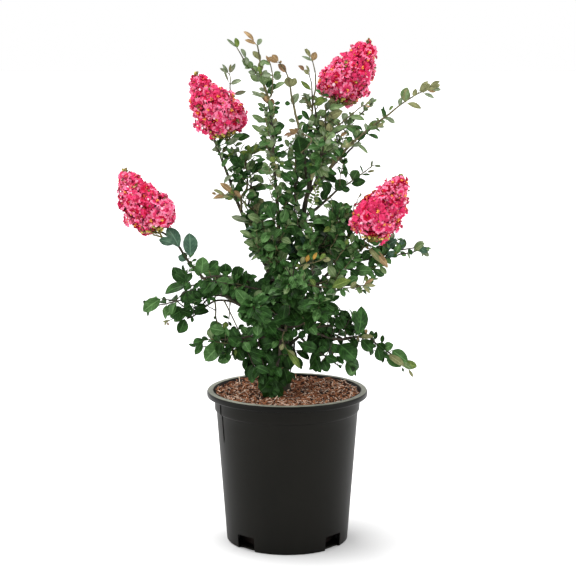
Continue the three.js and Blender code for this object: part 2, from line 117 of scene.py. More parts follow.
# leaf masses: from, to, bow, radii, leaf length, leaves wanted, tints
MASSES = {
    "foliage_spire_low": ((-21, -20, 634), (-36, -38, 758), (4, -1, 6), (20, 25, 21), 24, 26, "upper"),
    "foliage_spire_top": ((-37, -39, 758), (-65, -55, 879), (11, 0, -4), (21, 25, 11), 20, 0, "upper"),
    "foliage_spire_side": ((-48, -42, 793), (-100, -34, 868), (2, 0, 0), (15, 14, 8), 18, 0, "tip"),
    "foliage_bronze_tip": ((17, -38, 712), (-28, -60, 842), (12, -3, 5), (12, 15, 10), 18, 0, "tip"),
    "foliage_centre_tip": ((46, 2, 752), (35, -10, 853), (4, -2, -2), (17, 20, 12), 18, 0, "tip"),
    "foliage_left_tuft": ((-97, 62, 757), (-101, 70, 829), (0, 0, 1), (11, 14, 11), 18, 0, "tip"),
    "foliage_left_upper": ((-68, 22, 590), (-100, 45, 698), (18, -4, 3), (18, 36, 22), 27, 22, "centre"),
    "foliage_left_bronze": ((-70, 20, 578), (-133, -15, 609), (4, -2, 12), (13, 15, 9), 26, 0, "tip"),
    "foliage_upper_core": ((36, 22, 631), (70, 38, 745), (-2, 0, 2), (31, 42, 28), 26, 160, "centre"),
    "foliage_upper_right": ((84, 12, 710), (149, 0, 767), (-1, 0, -5), (20, 18, 10), 25, 20, "upper"),
    "foliage_right_spray": ((92, -10, 667), (166, -38, 743), (0, -1, 2), (15, 18, 16), 24, 10, "upper"),
    "foliage_right_tip": ((165, -39, 744), (257, -62, 800), (-5, 1, -1), (14, 16, 9), 22, 0, "tip"),
    "foliage_right_twig": ((64, 25, 585), (165, 48, 658), (-3, 2, 2), (16, 21, 8), 24, 0, "mid"),
    "foliage_inner": ((15, 2, 544), (15, -20, 676), (-2, -2, -2), (16, 20, 16), 28, 44, "mid"),
    "foliage_back_top": ((52, 58, 624), (59, 142, 708), (5, 5, 1), (24, 32, 20), 27, 90, "centre"),
    "foliage_front_top": ((48, -4, 640), (62, -96, 714), (3, -4, 1), (23, 29, 19), 25, 66, "centre"),
    "foliage_mid_left": ((-2, 0, 478), (-62, 5, 594), (-4, -2, -4), (38, 46, 30), 32, 170, "mid"),
    "foliage_mid_right": ((25, -10, 482), (98, -38, 596), (6, -3, -1), (42, 52, 30), 32, 235, "mid"),
    "foliage_right_reach": ((108, -46, 498), (245, -48, 521), (-3, -3, -4), (28, 27, 9), 24, 20, "centre"),
    "foliage_right_wand": ((45, -46, 461), (153, -88, 463), (-2, -4, -3), (22, 20, 9), 28, 18, "centre"),
    "foliage_arm_inner": ((-29, -15, 441), (-138, -30, 462), (-1, -2, 1), (22, 22, 24), 33, 50, "low"),
    "foliage_arm_outer": ((-142, 0, 440), (-246, 13, 408), (2, 0, -4), (46, 40, 12), 32, 12, "low"),
    "foliage_arm_tip": ((-158, -30, 488), (-204, -34, 546), (3, -2, 2), (17, 23, 18), 34, 0, "low"),
    "foliage_back_left": ((-28, 84, 456), (-52, 168, 526), (1, 2, 1), (31, 44, 27), 34, 110, "mid"),
    "foliage_back_right": ((39, 84, 456), (81, 172, 521), (2, 5, -1), (31, 46, 28), 34, 114, "mid"),
    "foliage_front": ((0, -66, 424), (12, -152, 508), (1, -5, 3), (28, 40, 24), 34, 90, "low"),
    "foliage_core": ((-9, 0, 340), (-10, 0, 462), (-3, 0, -2), (50, 60, 50), 36, 240, "low"),
    "foliage_back_low_left": ((-18, 46, 364), (-42, 142, 404), (-3, 0, -5), (28, 40, 25), 36, 88, "low"),
    "foliage_back_low_right": ((21, 46, 364), (62, 142, 396), (2, 0, 4), (28, 40, 25), 36, 88, "low"),
    "foliage_front_left": ((-30, -52, 390), (-56, -152, 442), (-7, 0, 0), (27, 36, 22), 35, 80, "low"),
    "foliage_front_right": ((26, -52, 386), (56, -147, 446), (3, -2, 1), (27, 36, 22), 35, 80, "low"),
    "foliage_low_left": ((-40, -10, 364), (-166, -30, 346), (4, -2, -6), (40, 38, 16), 35, 44, "low"),
    "foliage_low_right": ((36, 0, 398), (117, -22, 300), (4, 1, -3), (38, 36, 17), 35, 66, "shade"),
    "foliage_low_arm": ((76, -30, 372), (223, -40, 301), (5, -1, 13), (21, 20, 11), 30, 0, "low"),
    "foliage_paddle": ((122, -48, 382), (127, -54, 424), (0, 0, -1), (11, 15, 11), 36, 0, "low"),
    "foliage_foot": ((-10, -22, 331), (-27, -50, 266), (-6, -2, 0), (25, 27, 15), 34, 34, "shade"),
    "foliage_foot_right": ((12, -6, 346), (2, -16, 287), (2, -1, 0), (15, 19, 12), 29, 24, "shade"),
}
FOLIAGE = list(MASSES)
PANICLES = {
    "panicle_upper_left": ((-99, 46, 698), (-157, 42, 811)),
    "panicle_left": ((-214, -32, 539), (-279, -36, 654)),
    "panicle_upper_right": ((86, 44, 757), (145, 58, 870)),
    "panicle_right": ((138, -66, 535), (196, -74, 652)),
}


def bowed(a, b, bow):
    a, b, bow = (np.array(v, float) for v in (a, b, bow))
    m = (a + b) / 2 + bow
    c = 2 * m - (a + b) / 2
    return lambda t: ((1 - t) ** 2 * a + 2 * t * (1 - t) * c + t * t * b)


# ---- mesh gathering --------------------------------------------------------
class Soup:
    """Gathers many small bits into one joined mesh."""

    def __init__(self):
        self.v, self.q, self.t, self.n = [], [], [], 0

    def add(self, v, quads=None, tris=None):
        self.v.append(np.asarray(v, float))
        if quads is not None and len(quads):
            self.q.append(np.asarray(quads, int) + self.n)
        if tris is not None and len(tris):
            self.t.append(np.asarray(tris, int) + self.n)
        self.n += len(v)

    def faces(self):
        return 2 * sum(len(q) for q in self.q) + sum(len(t) for t in self.t)

    def build(self, name, material, slot, smooth=True):
        v = np.concatenate(self.v) * MM
        q = np.concatenate(self.q) if self.q else np.zeros((0, 4), int)
        t = np.concatenate(self.t) if self.t else np.zeros((0, 3), int)
        loops = np.concatenate([q.ravel(), t.ravel()]).astype(np.int32)
        totals = np.concatenate([np.full(len(q), 4), np.full(len(t), 3)])
        starts = np.concatenate([[0], np.cumsum(totals)[:-1]]).astype(np.int32)
        me = bpy.data.meshes.new(name)
        me.vertices.add(len(v))
        me.vertices.foreach_set("co", v.astype(np.float32).ravel())
        me.loops.add(len(loops))
        me.loops.foreach_set("vertex_index", loops)
        me.polygons.add(len(totals))
        me.polygons.foreach_set("loop_start", starts)
        me.update(calc_edges=True)
        me.validate()
        me.polygons.foreach_set("use_smooth", np.full(len(me.polygons), smooth))
        me.materials.append(material)
        ob = bpy.data.objects.new(name, me)
        bpy.context.scene.collection.objects.link(ob)
        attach(ob, "root")
        return ob


def frames_along(p):
    """Tangent, normal and binormal at each point of a polyline, without twist."""
    p = np.asarray(p, float)
    t = np.gradient(p, axis=0)
    t = unit(t)
    ref = np.array([0, 0, 1.0]) if abs(t[0][2]) < 0.9 else np.array([1.0, 0, 0])
    n = unit(np.cross(t[0], ref))
    ns = [n]
    for i in range(1, len(p)):
        n = ns[-1] - np.dot(ns[-1], t[i]) * t[i]
        ns.append(unit(n))
    ns = np.array(ns)
    return t, ns, np.cross(t, ns)


def tube(soup, p, r, sides=6, wobble=None, cap=True):
    """A tapering tube along p, closed at both ends."""
    p = np.asarray(p, float)
    r = np.broadcast_to(np.asarray(r, float), (len(p),))
    t, n, b = frames_along(p)
    ang = np.arange(sides) / sides * 2 * math.pi
    rr = r[:, None] * (np.ones((len(p), sides)) if wobble is None else wobble)
    v = (p[:, None, :] + rr[..., None] * (np.cos(ang)[None, :, None] * n[:, None, :]
                                          + np.sin(ang)[None, :, None] * b[:, None, :]))
    v = v.reshape(-1, 3)
    k = np.arange(sides)
    quads = []
    for i in range(len(p) - 1):
        a0 = i * sides + k
        a1 = i * sides + (k + 1) % sides
        quads.append(np.stack([a0, a1, a1 + sides, a0 + sides], 1))
    quads = np.concatenate(quads)
    tris = None
    if cap:
        m = len(v)
        v = np.concatenate([v, [p[0] - t[0] * r[0] * 0.2, p[-1] + t[-1] * r[-1] * 0.6]])
        last = (len(p) - 1) * sides
        tris = np.concatenate([
            np.stack([np.full(sides, m), (k + 1) % sides, k], 1),
            np.stack([np.full(sides, m + 1), last + k, last + (k + 1) % sides], 1)])
    soup.add(v, quads, tris)


# ---- leaves ----------------------------------------------------------------
# outline of a leaf: share of the length, share of the half width
OUTLINE = np.array([(0.0, 0.035), (0.05, 0.05), (0.14, 0.40), (0.28, 0.78), (0.45, 0.99),
                    (0.62, 0.95), (0.78, 0.70), (0.91, 0.34), (1.0, 0.012)])
OBOVATE = np.array([(0.0, 0.035), (0.05, 0.05), (0.14, 0.27), (0.28, 0.60), (0.45, 0.88),
                    (0.62, 1.0), (0.78, 0.86), (0.91, 0.50), (1.0, 0.015)])
ACROSS = np.array([-1.0, -0.5, 0.0, 0.5, 1.0])


class Leaves:
    """Leaf records by tint; each becomes a curved, folded blade."""

    def __init__(self):
        self.rec = {}

    def add(self, tint, base, direction, normal, length, width, fold=0.35, curl=0.5, twist=0.0, obovate=0.3):
        self.rec.setdefault(tint, []).append(
            (*base, *direction, *normal, length, width, fold, curl, twist, rng.uniform(0, 6.283),
             rng.uniform(0.2, 1.0), obovate))

    def soup(self, tint):
        a = np.array(self.rec[tint], float)
        base, d, nrm = a[:, 0:3], unit(a[:, 3:6]), a[:, 6:9]
        length, width, fold, curl, twist, ph, wav, ob = (a[:, i] for i in range(9, 17))
        nrm = unit(nrm - (nrm * d).sum(1, keepdims=True) * d)
        side = np.cross(nrm, d)
        s = OUTLINE[:, 0]
        w = OUTLINE[None, :, 1] * (1 - ob[:, None]) + OBOVATE[None, :, 1] * ob[:, None]
        c = np.where(np.abs(curl) < 1e-3, 1e-3, curl)[:, None]
        th = c * s[None, :]
        x = np.sin(th) / c
        z = -(1 - np.cos(th)) / c
        u = ACROSS[None, None, :]
        hw = (w * width[:, None] / 2)[..., None]                       # N,S,1
        f = fold[:, None, None] * np.sin(np.clip(s * 1.15 + 0.12, 0, 1) * math.pi / 2)[None, :, None]
        y = u * hw * np.cos(f)
        h = hw * np.sin(f) * (np.abs(u) * 1.25 - 0.35 * u * u)
        h = h + (0.028 * length * wav)[:, None, None] * np.sin(s[None, :, None] * 9.5 + ph[:, None, None]
                                                              + (u > 0) * 2.2) * np.abs(u) ** 2 * w[..., None]
        tw = (twist[:, None] * s[None, :])[..., None]
        y, h = y * np.cos(tw) - h * np.sin(tw), y * np.sin(tw) + h * np.cos(tw)
        ln = length[:, None]
        mid = (base[:, None, :] + (ln * x)[..., None] * d[:, None, :] + (ln * z)[..., None] * nrm[:, None, :])
        up = np.sin(th)[..., None] * d[:, None, :] + np.cos(th)[..., None] * nrm[:, None, :]
        v = mid[:, :, None, :] + y[..., None] * side[:, None, None, :] + h[..., None] * up[:, :, None, :]
        n, ns, na = v.shape[0], len(s), len(ACROSS)
        i, j = np.meshgrid(np.arange(ns - 1), np.arange(na - 1), indexing="ij")
        q = np.stack([i * na + j, (i + 1) * na + j, (i + 1) * na + j + 1, i * na + j + 1], -1).reshape(-1, 4)
        quads = (q[None] + (np.arange(n) * ns * na)[:, None, None]).reshape(-1, 4)
        out = Soup()
        out.add(v.reshape(-1, 3), quads)
        uv = np.stack(np.broadcast_arrays(s[None, :, None], (ACROSS[None, None, :] + 1) / 2 + np.zeros((n, 1, 1))), -1)
        out.uv = uv.reshape(-1, 2)
        return out


leaves = Leaves()
TINTS = {
    # palette name: tint and share, along the shoot (lower part, tip part)
    "low": ([("dark", 0.52), ("deep_and_shade", 0.32), ("mid", 0.16)], [("mid", 0.46), ("dark", 0.40), ("deep_and_shade", 0.08), ("moss", 0.06)]),
    "mid": ([("dark", 0.38), ("deep_and_shade", 0.05), ("mid", 0.41), ("moss", 0.14), ("blue_and_sheen", 0.02)], [("mid", 0.5), ("moss", 0.25), ("dark", 0.2), ("fresh", 0.05)]),
    "upper": ([("dark", 0.12), ("mid", 0.32), ("moss", 0.38), ("sage", 0.18)], [("moss", 0.4), ("sage", 0.3), ("mid", 0.15), ("fresh", 0.15)]),
    "centre": ([("dark", 0.34), ("mid", 0.38), ("moss", 0.22), ("sage", 0.06)], [("moss", 0.45), ("mid", 0.3), ("sage", 0.15), ("fresh", 0.10)]),
    "shade": ([("deep_and_shade", 0.48), ("dark", 0.52)], [("dark", 0.7), ("deep_and_shade", 0.2), ("mid", 0.1)]),
    "sprig": ([("fresh", 0.6), ("moss", 0.4)], [("fresh", 0.7), ("sage", 0.3)]),
    "tip": ([("moss", 0.5), ("sage", 0.4), ("mid", 0.1)], [("sage", 0.35), ("olive", 0.4), ("bronze", 0.25)]),
}


def pick(table):
    k = rng.random() * sum(w for _, w in table)
    for name, w in table:
        k -= w
        if k <= 0:
            return name
    return table[-1][0]


AXIS = np.array([-4.0, 0.0])        # the crown's middle line, x and y


def facing(point):
    """Which way the upper faces of leaves turn: up and outward, to the light."""
    out = np.array([point[0] - AXIS[0], point[1] - AXIS[1], 0.0])
    out = unit(out) if np.linalg.norm(out) > 1 else np.array([0, -1.0, 0])
    if point[1] < 60:
        out = unit(out + np.array([0, -1.1, 0]) * (1 - max(point[1], 0) / 60))
    return unit(np.array([0, 0, 0.58]) + 0.80 * out)


def leaf_to(tint, base, tip, width, curl=None, face=(0.0, -1.0, 0.45), fold=None):
    """A leaf whose base and tip lie at two given points, arched between them."""
    base, tip = np.asarray(base, float), np.asarray(tip, float)
    chord = np.linalg.norm(tip - base)
    d = (tip - base) / chord
    nrm = unit(np.asarray(face, float) + rng.normal(0, 0.22, 3))
    nrm = unit(nrm - np.dot(nrm, d) * d)
    c = rng.uniform(0.35, 1.0) if curl is None else curl
    d0 = math.cos(c / 2) * d + math.sin(c / 2) * nrm
    n0 = math.cos(c / 2) * nrm - math.sin(c / 2) * d
    leaves.add(tint, base, d0, n0, chord * (c / 2) / math.sin(c / 2), 1.08 * width,
               fold=rng.uniform(0.15, 0.45) if fold is None else fold, curl=c, twist=rng.normal(0, 0.15),
               obovate=rng.uniform(0.1, 0.8))


def add_leaf(tint, base, direction, length, ratio=0.56, face=None, **kw):
    d = unit(direction)
    nrm = facing(base) if face is None else np.asarray(face, float)
    nrm = unit(nrm + rng.normal(0, 0.28, 3))
    nrm = nrm - np.dot(nrm, d) * d
    if np.linalg.norm(nrm) < 0.15:
        nrm = np.cross(d, [0.3, 0.9, 0.1])
    kw.setdefault("fold", rng.uniform(0.12, 0.5))
    kw.setdefault("curl", rng.uniform(0.1, 0.95))
    kw.setdefault("twist", rng.normal(0, 0.28))
    kw.setdefault("obovate", rng.uniform(0, 0.8))
    leaves.add(tint, base, d, unit(nrm), length, length * ratio * rng.uniform(0.9, 1.1), **kw)


# ---- twigs -----------------------------------------------------------------
twig_soups = {"twig_brown": Soup(), "twig_green": Soup()}


def spline(points, n):
    """A smooth line through a few points."""
    p = np.asarray(points, float)
    if len(p) == 2:
        t = np.linspace(0, 1, n)[:, None]
        return p[0] * (1 - t) + p[1] * t
    q = np.concatenate([[2 * p[0] - p[1]], p, [2 * p[-1] - p[-2]]])
    seg = len(p) - 1
    ts = np.linspace(0, seg - 1e-6, n)
    out = []
    for t in ts:
        i = int(t)
        f = t - i
        a, b, c, d = q[i:i + 4]
        out.append(0.5 * ((2 * b) + (c - a) * f + (2 * a - 5 * b + 4 * c - d) * f * f
                          + (3 * b - a - 3 * c + d) * f ** 3))
    return np.array(out)


def resample(p, step):
    d = np.concatenate([[0], np.cumsum(np.linalg.norm(np.diff(p, axis=0), axis=1))])
    n = max(2, int(round(d[-1] / step)) + 1)
    s = np.linspace(0, d[-1], n)
    return np.stack([np.interp(s, d, p[:, k]) for k in range(3)], 1), d[-1]


def clear_of_gaps(base, direction, size):
    """Whether a leaf from base would leave the gaps open."""
    d = unit(direction)
    across = np.cross(d, facing(base))
    points = base + np.outer(np.array([0.3, 0.65, 0.97, 0.5, 0.5]) * size, d)
    points[3:] += np.outer(np.array([0.2, -0.2]) * size, across)
    return not in_gap(points)


def shoot(points, r0, r1, leaf, tints="mid", spacing=0.5, start=0.1, tip_leaf=0.45, ratio=0.56,
          wood="twig_green", spread=None, pair=True, face=None, density=1.0, tip_tuft=True, curl=None):
    """One twig with its leaves in two ranks, each pair turned a little from the last."""
    path = spline(points, max(6, 4 * len(points)))
    path, total = resample(path, 5.0)
    jitter = rng.normal(0, 0.35, path.shape)
    jitter[0] = jitter[-1] = 0
    path = path + jitter
    rad = 1.25 * np.linspace(r0, r1, len(path))
    tube(twig_soups[wood], path, rad, 5)
    d = np.concatenate([[0], np.cumsum(np.linalg.norm(np.diff(path, axis=0), axis=1))])
    t, n, b = frames_along(path)
    s = start * total
    k = 0
    plane = rng.uniform(-0.5, 0.5)
    low, top = TINTS[tints] if isinstance(tints, str) else tints
    while s < total - 1.5:
        f = s / total
        size = leaf * (1 - (1 - tip_leaf) * max(0.0, (f - 0.45) / 0.55) ** 1.3) * rng.uniform(0.82, 1.12)
        i = min(len(path) - 1, int(np.searchsorted(d, s)))
        base, tan = path[i], t[i]
        up = facing(base)
        # the two ranks lie to the sides, square to the way the leaves face
        side = np.cross(tan, up)
        side = unit(side) if np.linalg.norm(side) > 0.2 else n[i]
        up2 = np.cross(side, tan)
        for sgn in ((1, -1) if pair else ((1,) if k % 2 else (-1,))):
            if rng.random() > density:
                continue
            for _ in range(4):
                a = rng.uniform(0.75, 1.2) if spread is None else spread * rng.uniform(0.85, 1.15)
                roll = plane + rng.normal(0, 0.45)
                lat = sgn * (math.cos(roll) * side + math.sin(roll) * up2 * 0.9)
                direction = math.cos(a) * tan + math.sin(a) * lat + np.array([0, 0, -0.08])
                if clear_of_gaps(base, direction, size):
                    kw = {} if curl is None else {"curl": rng.uniform(*curl)}
                    add_leaf(pick(top if f > 0.72 else low), base + lat * r1, direction, size * rng.uniform(0.88, 1.05),
                             ratio, face, **kw)
                    break
        s += max(3.0, size * spacing * rng.uniform(0.8, 1.2))
        k += 1
        plane += rng.choice([-1, 1]) * rng.uniform(0.2, 0.9)
    if tip_tuft:
        for sgn in (1, -1, 0.2):
            lat = n[-1] * sgn + b[-1] * rng.normal(0, 0.4)
            if clear_of_gaps(path[-1], t[-1] + 0.45 * lat, leaf * tip_leaf):
                add_leaf(pick(top), path[-1], t[-1] + 0.45 * lat, leaf * tip_leaf * rng.uniform(0.7, 1.0), ratio * 0.85, face)
    return path


def mass_radius(r, t):
    body = r[0] + (r[1] - r[0]) * np.clip(t / 0.5, 0, 1) if t < 0.5 else r[1] + (r[2] - r[1]) * (t - 0.5) / 0.5
    edge = min(t, 1 - t) / 0.26
    return body * (math.sqrt(max(0.0, 1 - (1 - min(edge, 1)) ** 2)) if edge < 1 else 1)


def limb_curve(name):
    """The line of a limb; the left arm bends over to the foot of its head."""
    a, b, bow, _ = LIMBS[name]
    curve = bowed(a, b, bow)
    if name == "stem_left":
        return lambda t: curve(t) + np.array([9.0 * math.exp(-((curve(t)[2] - 466) / 42) ** 2), 0.0, 0.0])
    if name != "bough_left_arm":
        return curve
    p = resample(spline([curve(t) for t in (0, 0.2, 0.4, 0.6, 0.7, 0.78)] + [(-197, -30, 534), (-212, -32, 544), (-226, -33, 550)], 80), 2.0)[0]
    steps = np.linspace(0, 1, len(p))
    return lambda t: np.array([np.interp(t, steps, p[:, k]) for k in range(3)])


limb_curves = {n: limb_curve(n) for n in LIMBS}
limb_points = {n: np.array([c(t) for t in np.linspace(0, 1, 40)]) for n, c in limb_curves.items()}
trunk_points = np.array([bowed(TRUNK["a"], TRUNK["b"], (0.5, 0, 0))(t) for t in np.linspace(0.15, 1, 20)])
ALL_WOOD = np.concatenate([trunk_points] + list(limb_points.values()))


def nearest_wood(p, along=None):
    """The point on a limb that a twig to p would grow from: near, lower down and,
    where the twig's own direction is given, behind its start."""
    d = p - ALL_WOOD
    far = np.linalg.norm(d, axis=1)
    cost = far + np.maximum(0, -d[:, 2]) * (1.5 if along is None or along[2] > 0 else 0.0)
    if along is not None:
        bend = 1 - (d @ unit(along)) / np.maximum(far, 1e-6)
        cost = cost + 0.9 * np.maximum(far, 5.0) * bend
    return ALL_WOOD[int(np.argmin(cost))]


def fill_mass(name):
    """Leader along the mass, side twigs from it to the mass's surface, leaves on both."""
    a, b, bow, r, leaf, want, tints = MASSES[name]
    if not want:
        return
    curve = bowed(a, b, bow)
    length = np.linalg.norm(np.array(b, float) - a)
    start = curve(0.0)
    root = nearest_wood(start, curve(0.3) - start)
    leader = [root, start * 0.7 + root * 0.3, curve(0.3), curve(0.6), curve(0.93)]
    count0 = sum(len(x) for x in leaves.rec.values())
    shoot(leader, 1.7, 0.7, leaf, tints, spacing=0.62, start=0.35, wood="twig_brown")
    t_axis = unit(np.array(b, float) - a)
    ref = np.array([0, 0, 1.0]) if abs(t_axis[2]) < 0.9 else np.array([1.0, 0, 0])
    e1 = unit(np.cross(t_axis, ref))
    e2 = np.cross(t_axis, e1)
    i = 0
    golden = rng.uniform(0, 6.28)
    while sum(len(x) for x in leaves.rec.values()) - count0 < want and i < 90:
        golden += 2.39996 + rng.normal(0, 0.25)
        t1 = rng.uniform(0.12, 0.98)
        t0 = max(0.0, t1 - rng.uniform(0.12, 0.3))
        out = math.cos(golden) * e1 + math.sin(golden) * e2
        rad = mass_radius(r, t1)
        reach = max(rad - 0.36 * leaf, 0.3 * rad) * rng.uniform(0.72, 1.0)
        tip = curve(t1) + out * reach
        mid = curve((t0 + t1) / 2) + out * reach * 0.45 - np.array([0, 0, 0.05 * reach])
        begin = curve(t0)
        if tip[2] < SOIL_TOP + 12 or in_gap([mid, (mid + tip) / 2, tip]):
            i += 1
            continue
        tw = np.linalg.norm(tip - begin)
        shoot([begin, mid, tip], 1.0, 0.5, leaf * rng.uniform(0.85, 1.1), tints,
              spacing=0.5, start=0.22, wood="twig_green" if rng.random() < 0.6 else "twig_brown")
        i += 1


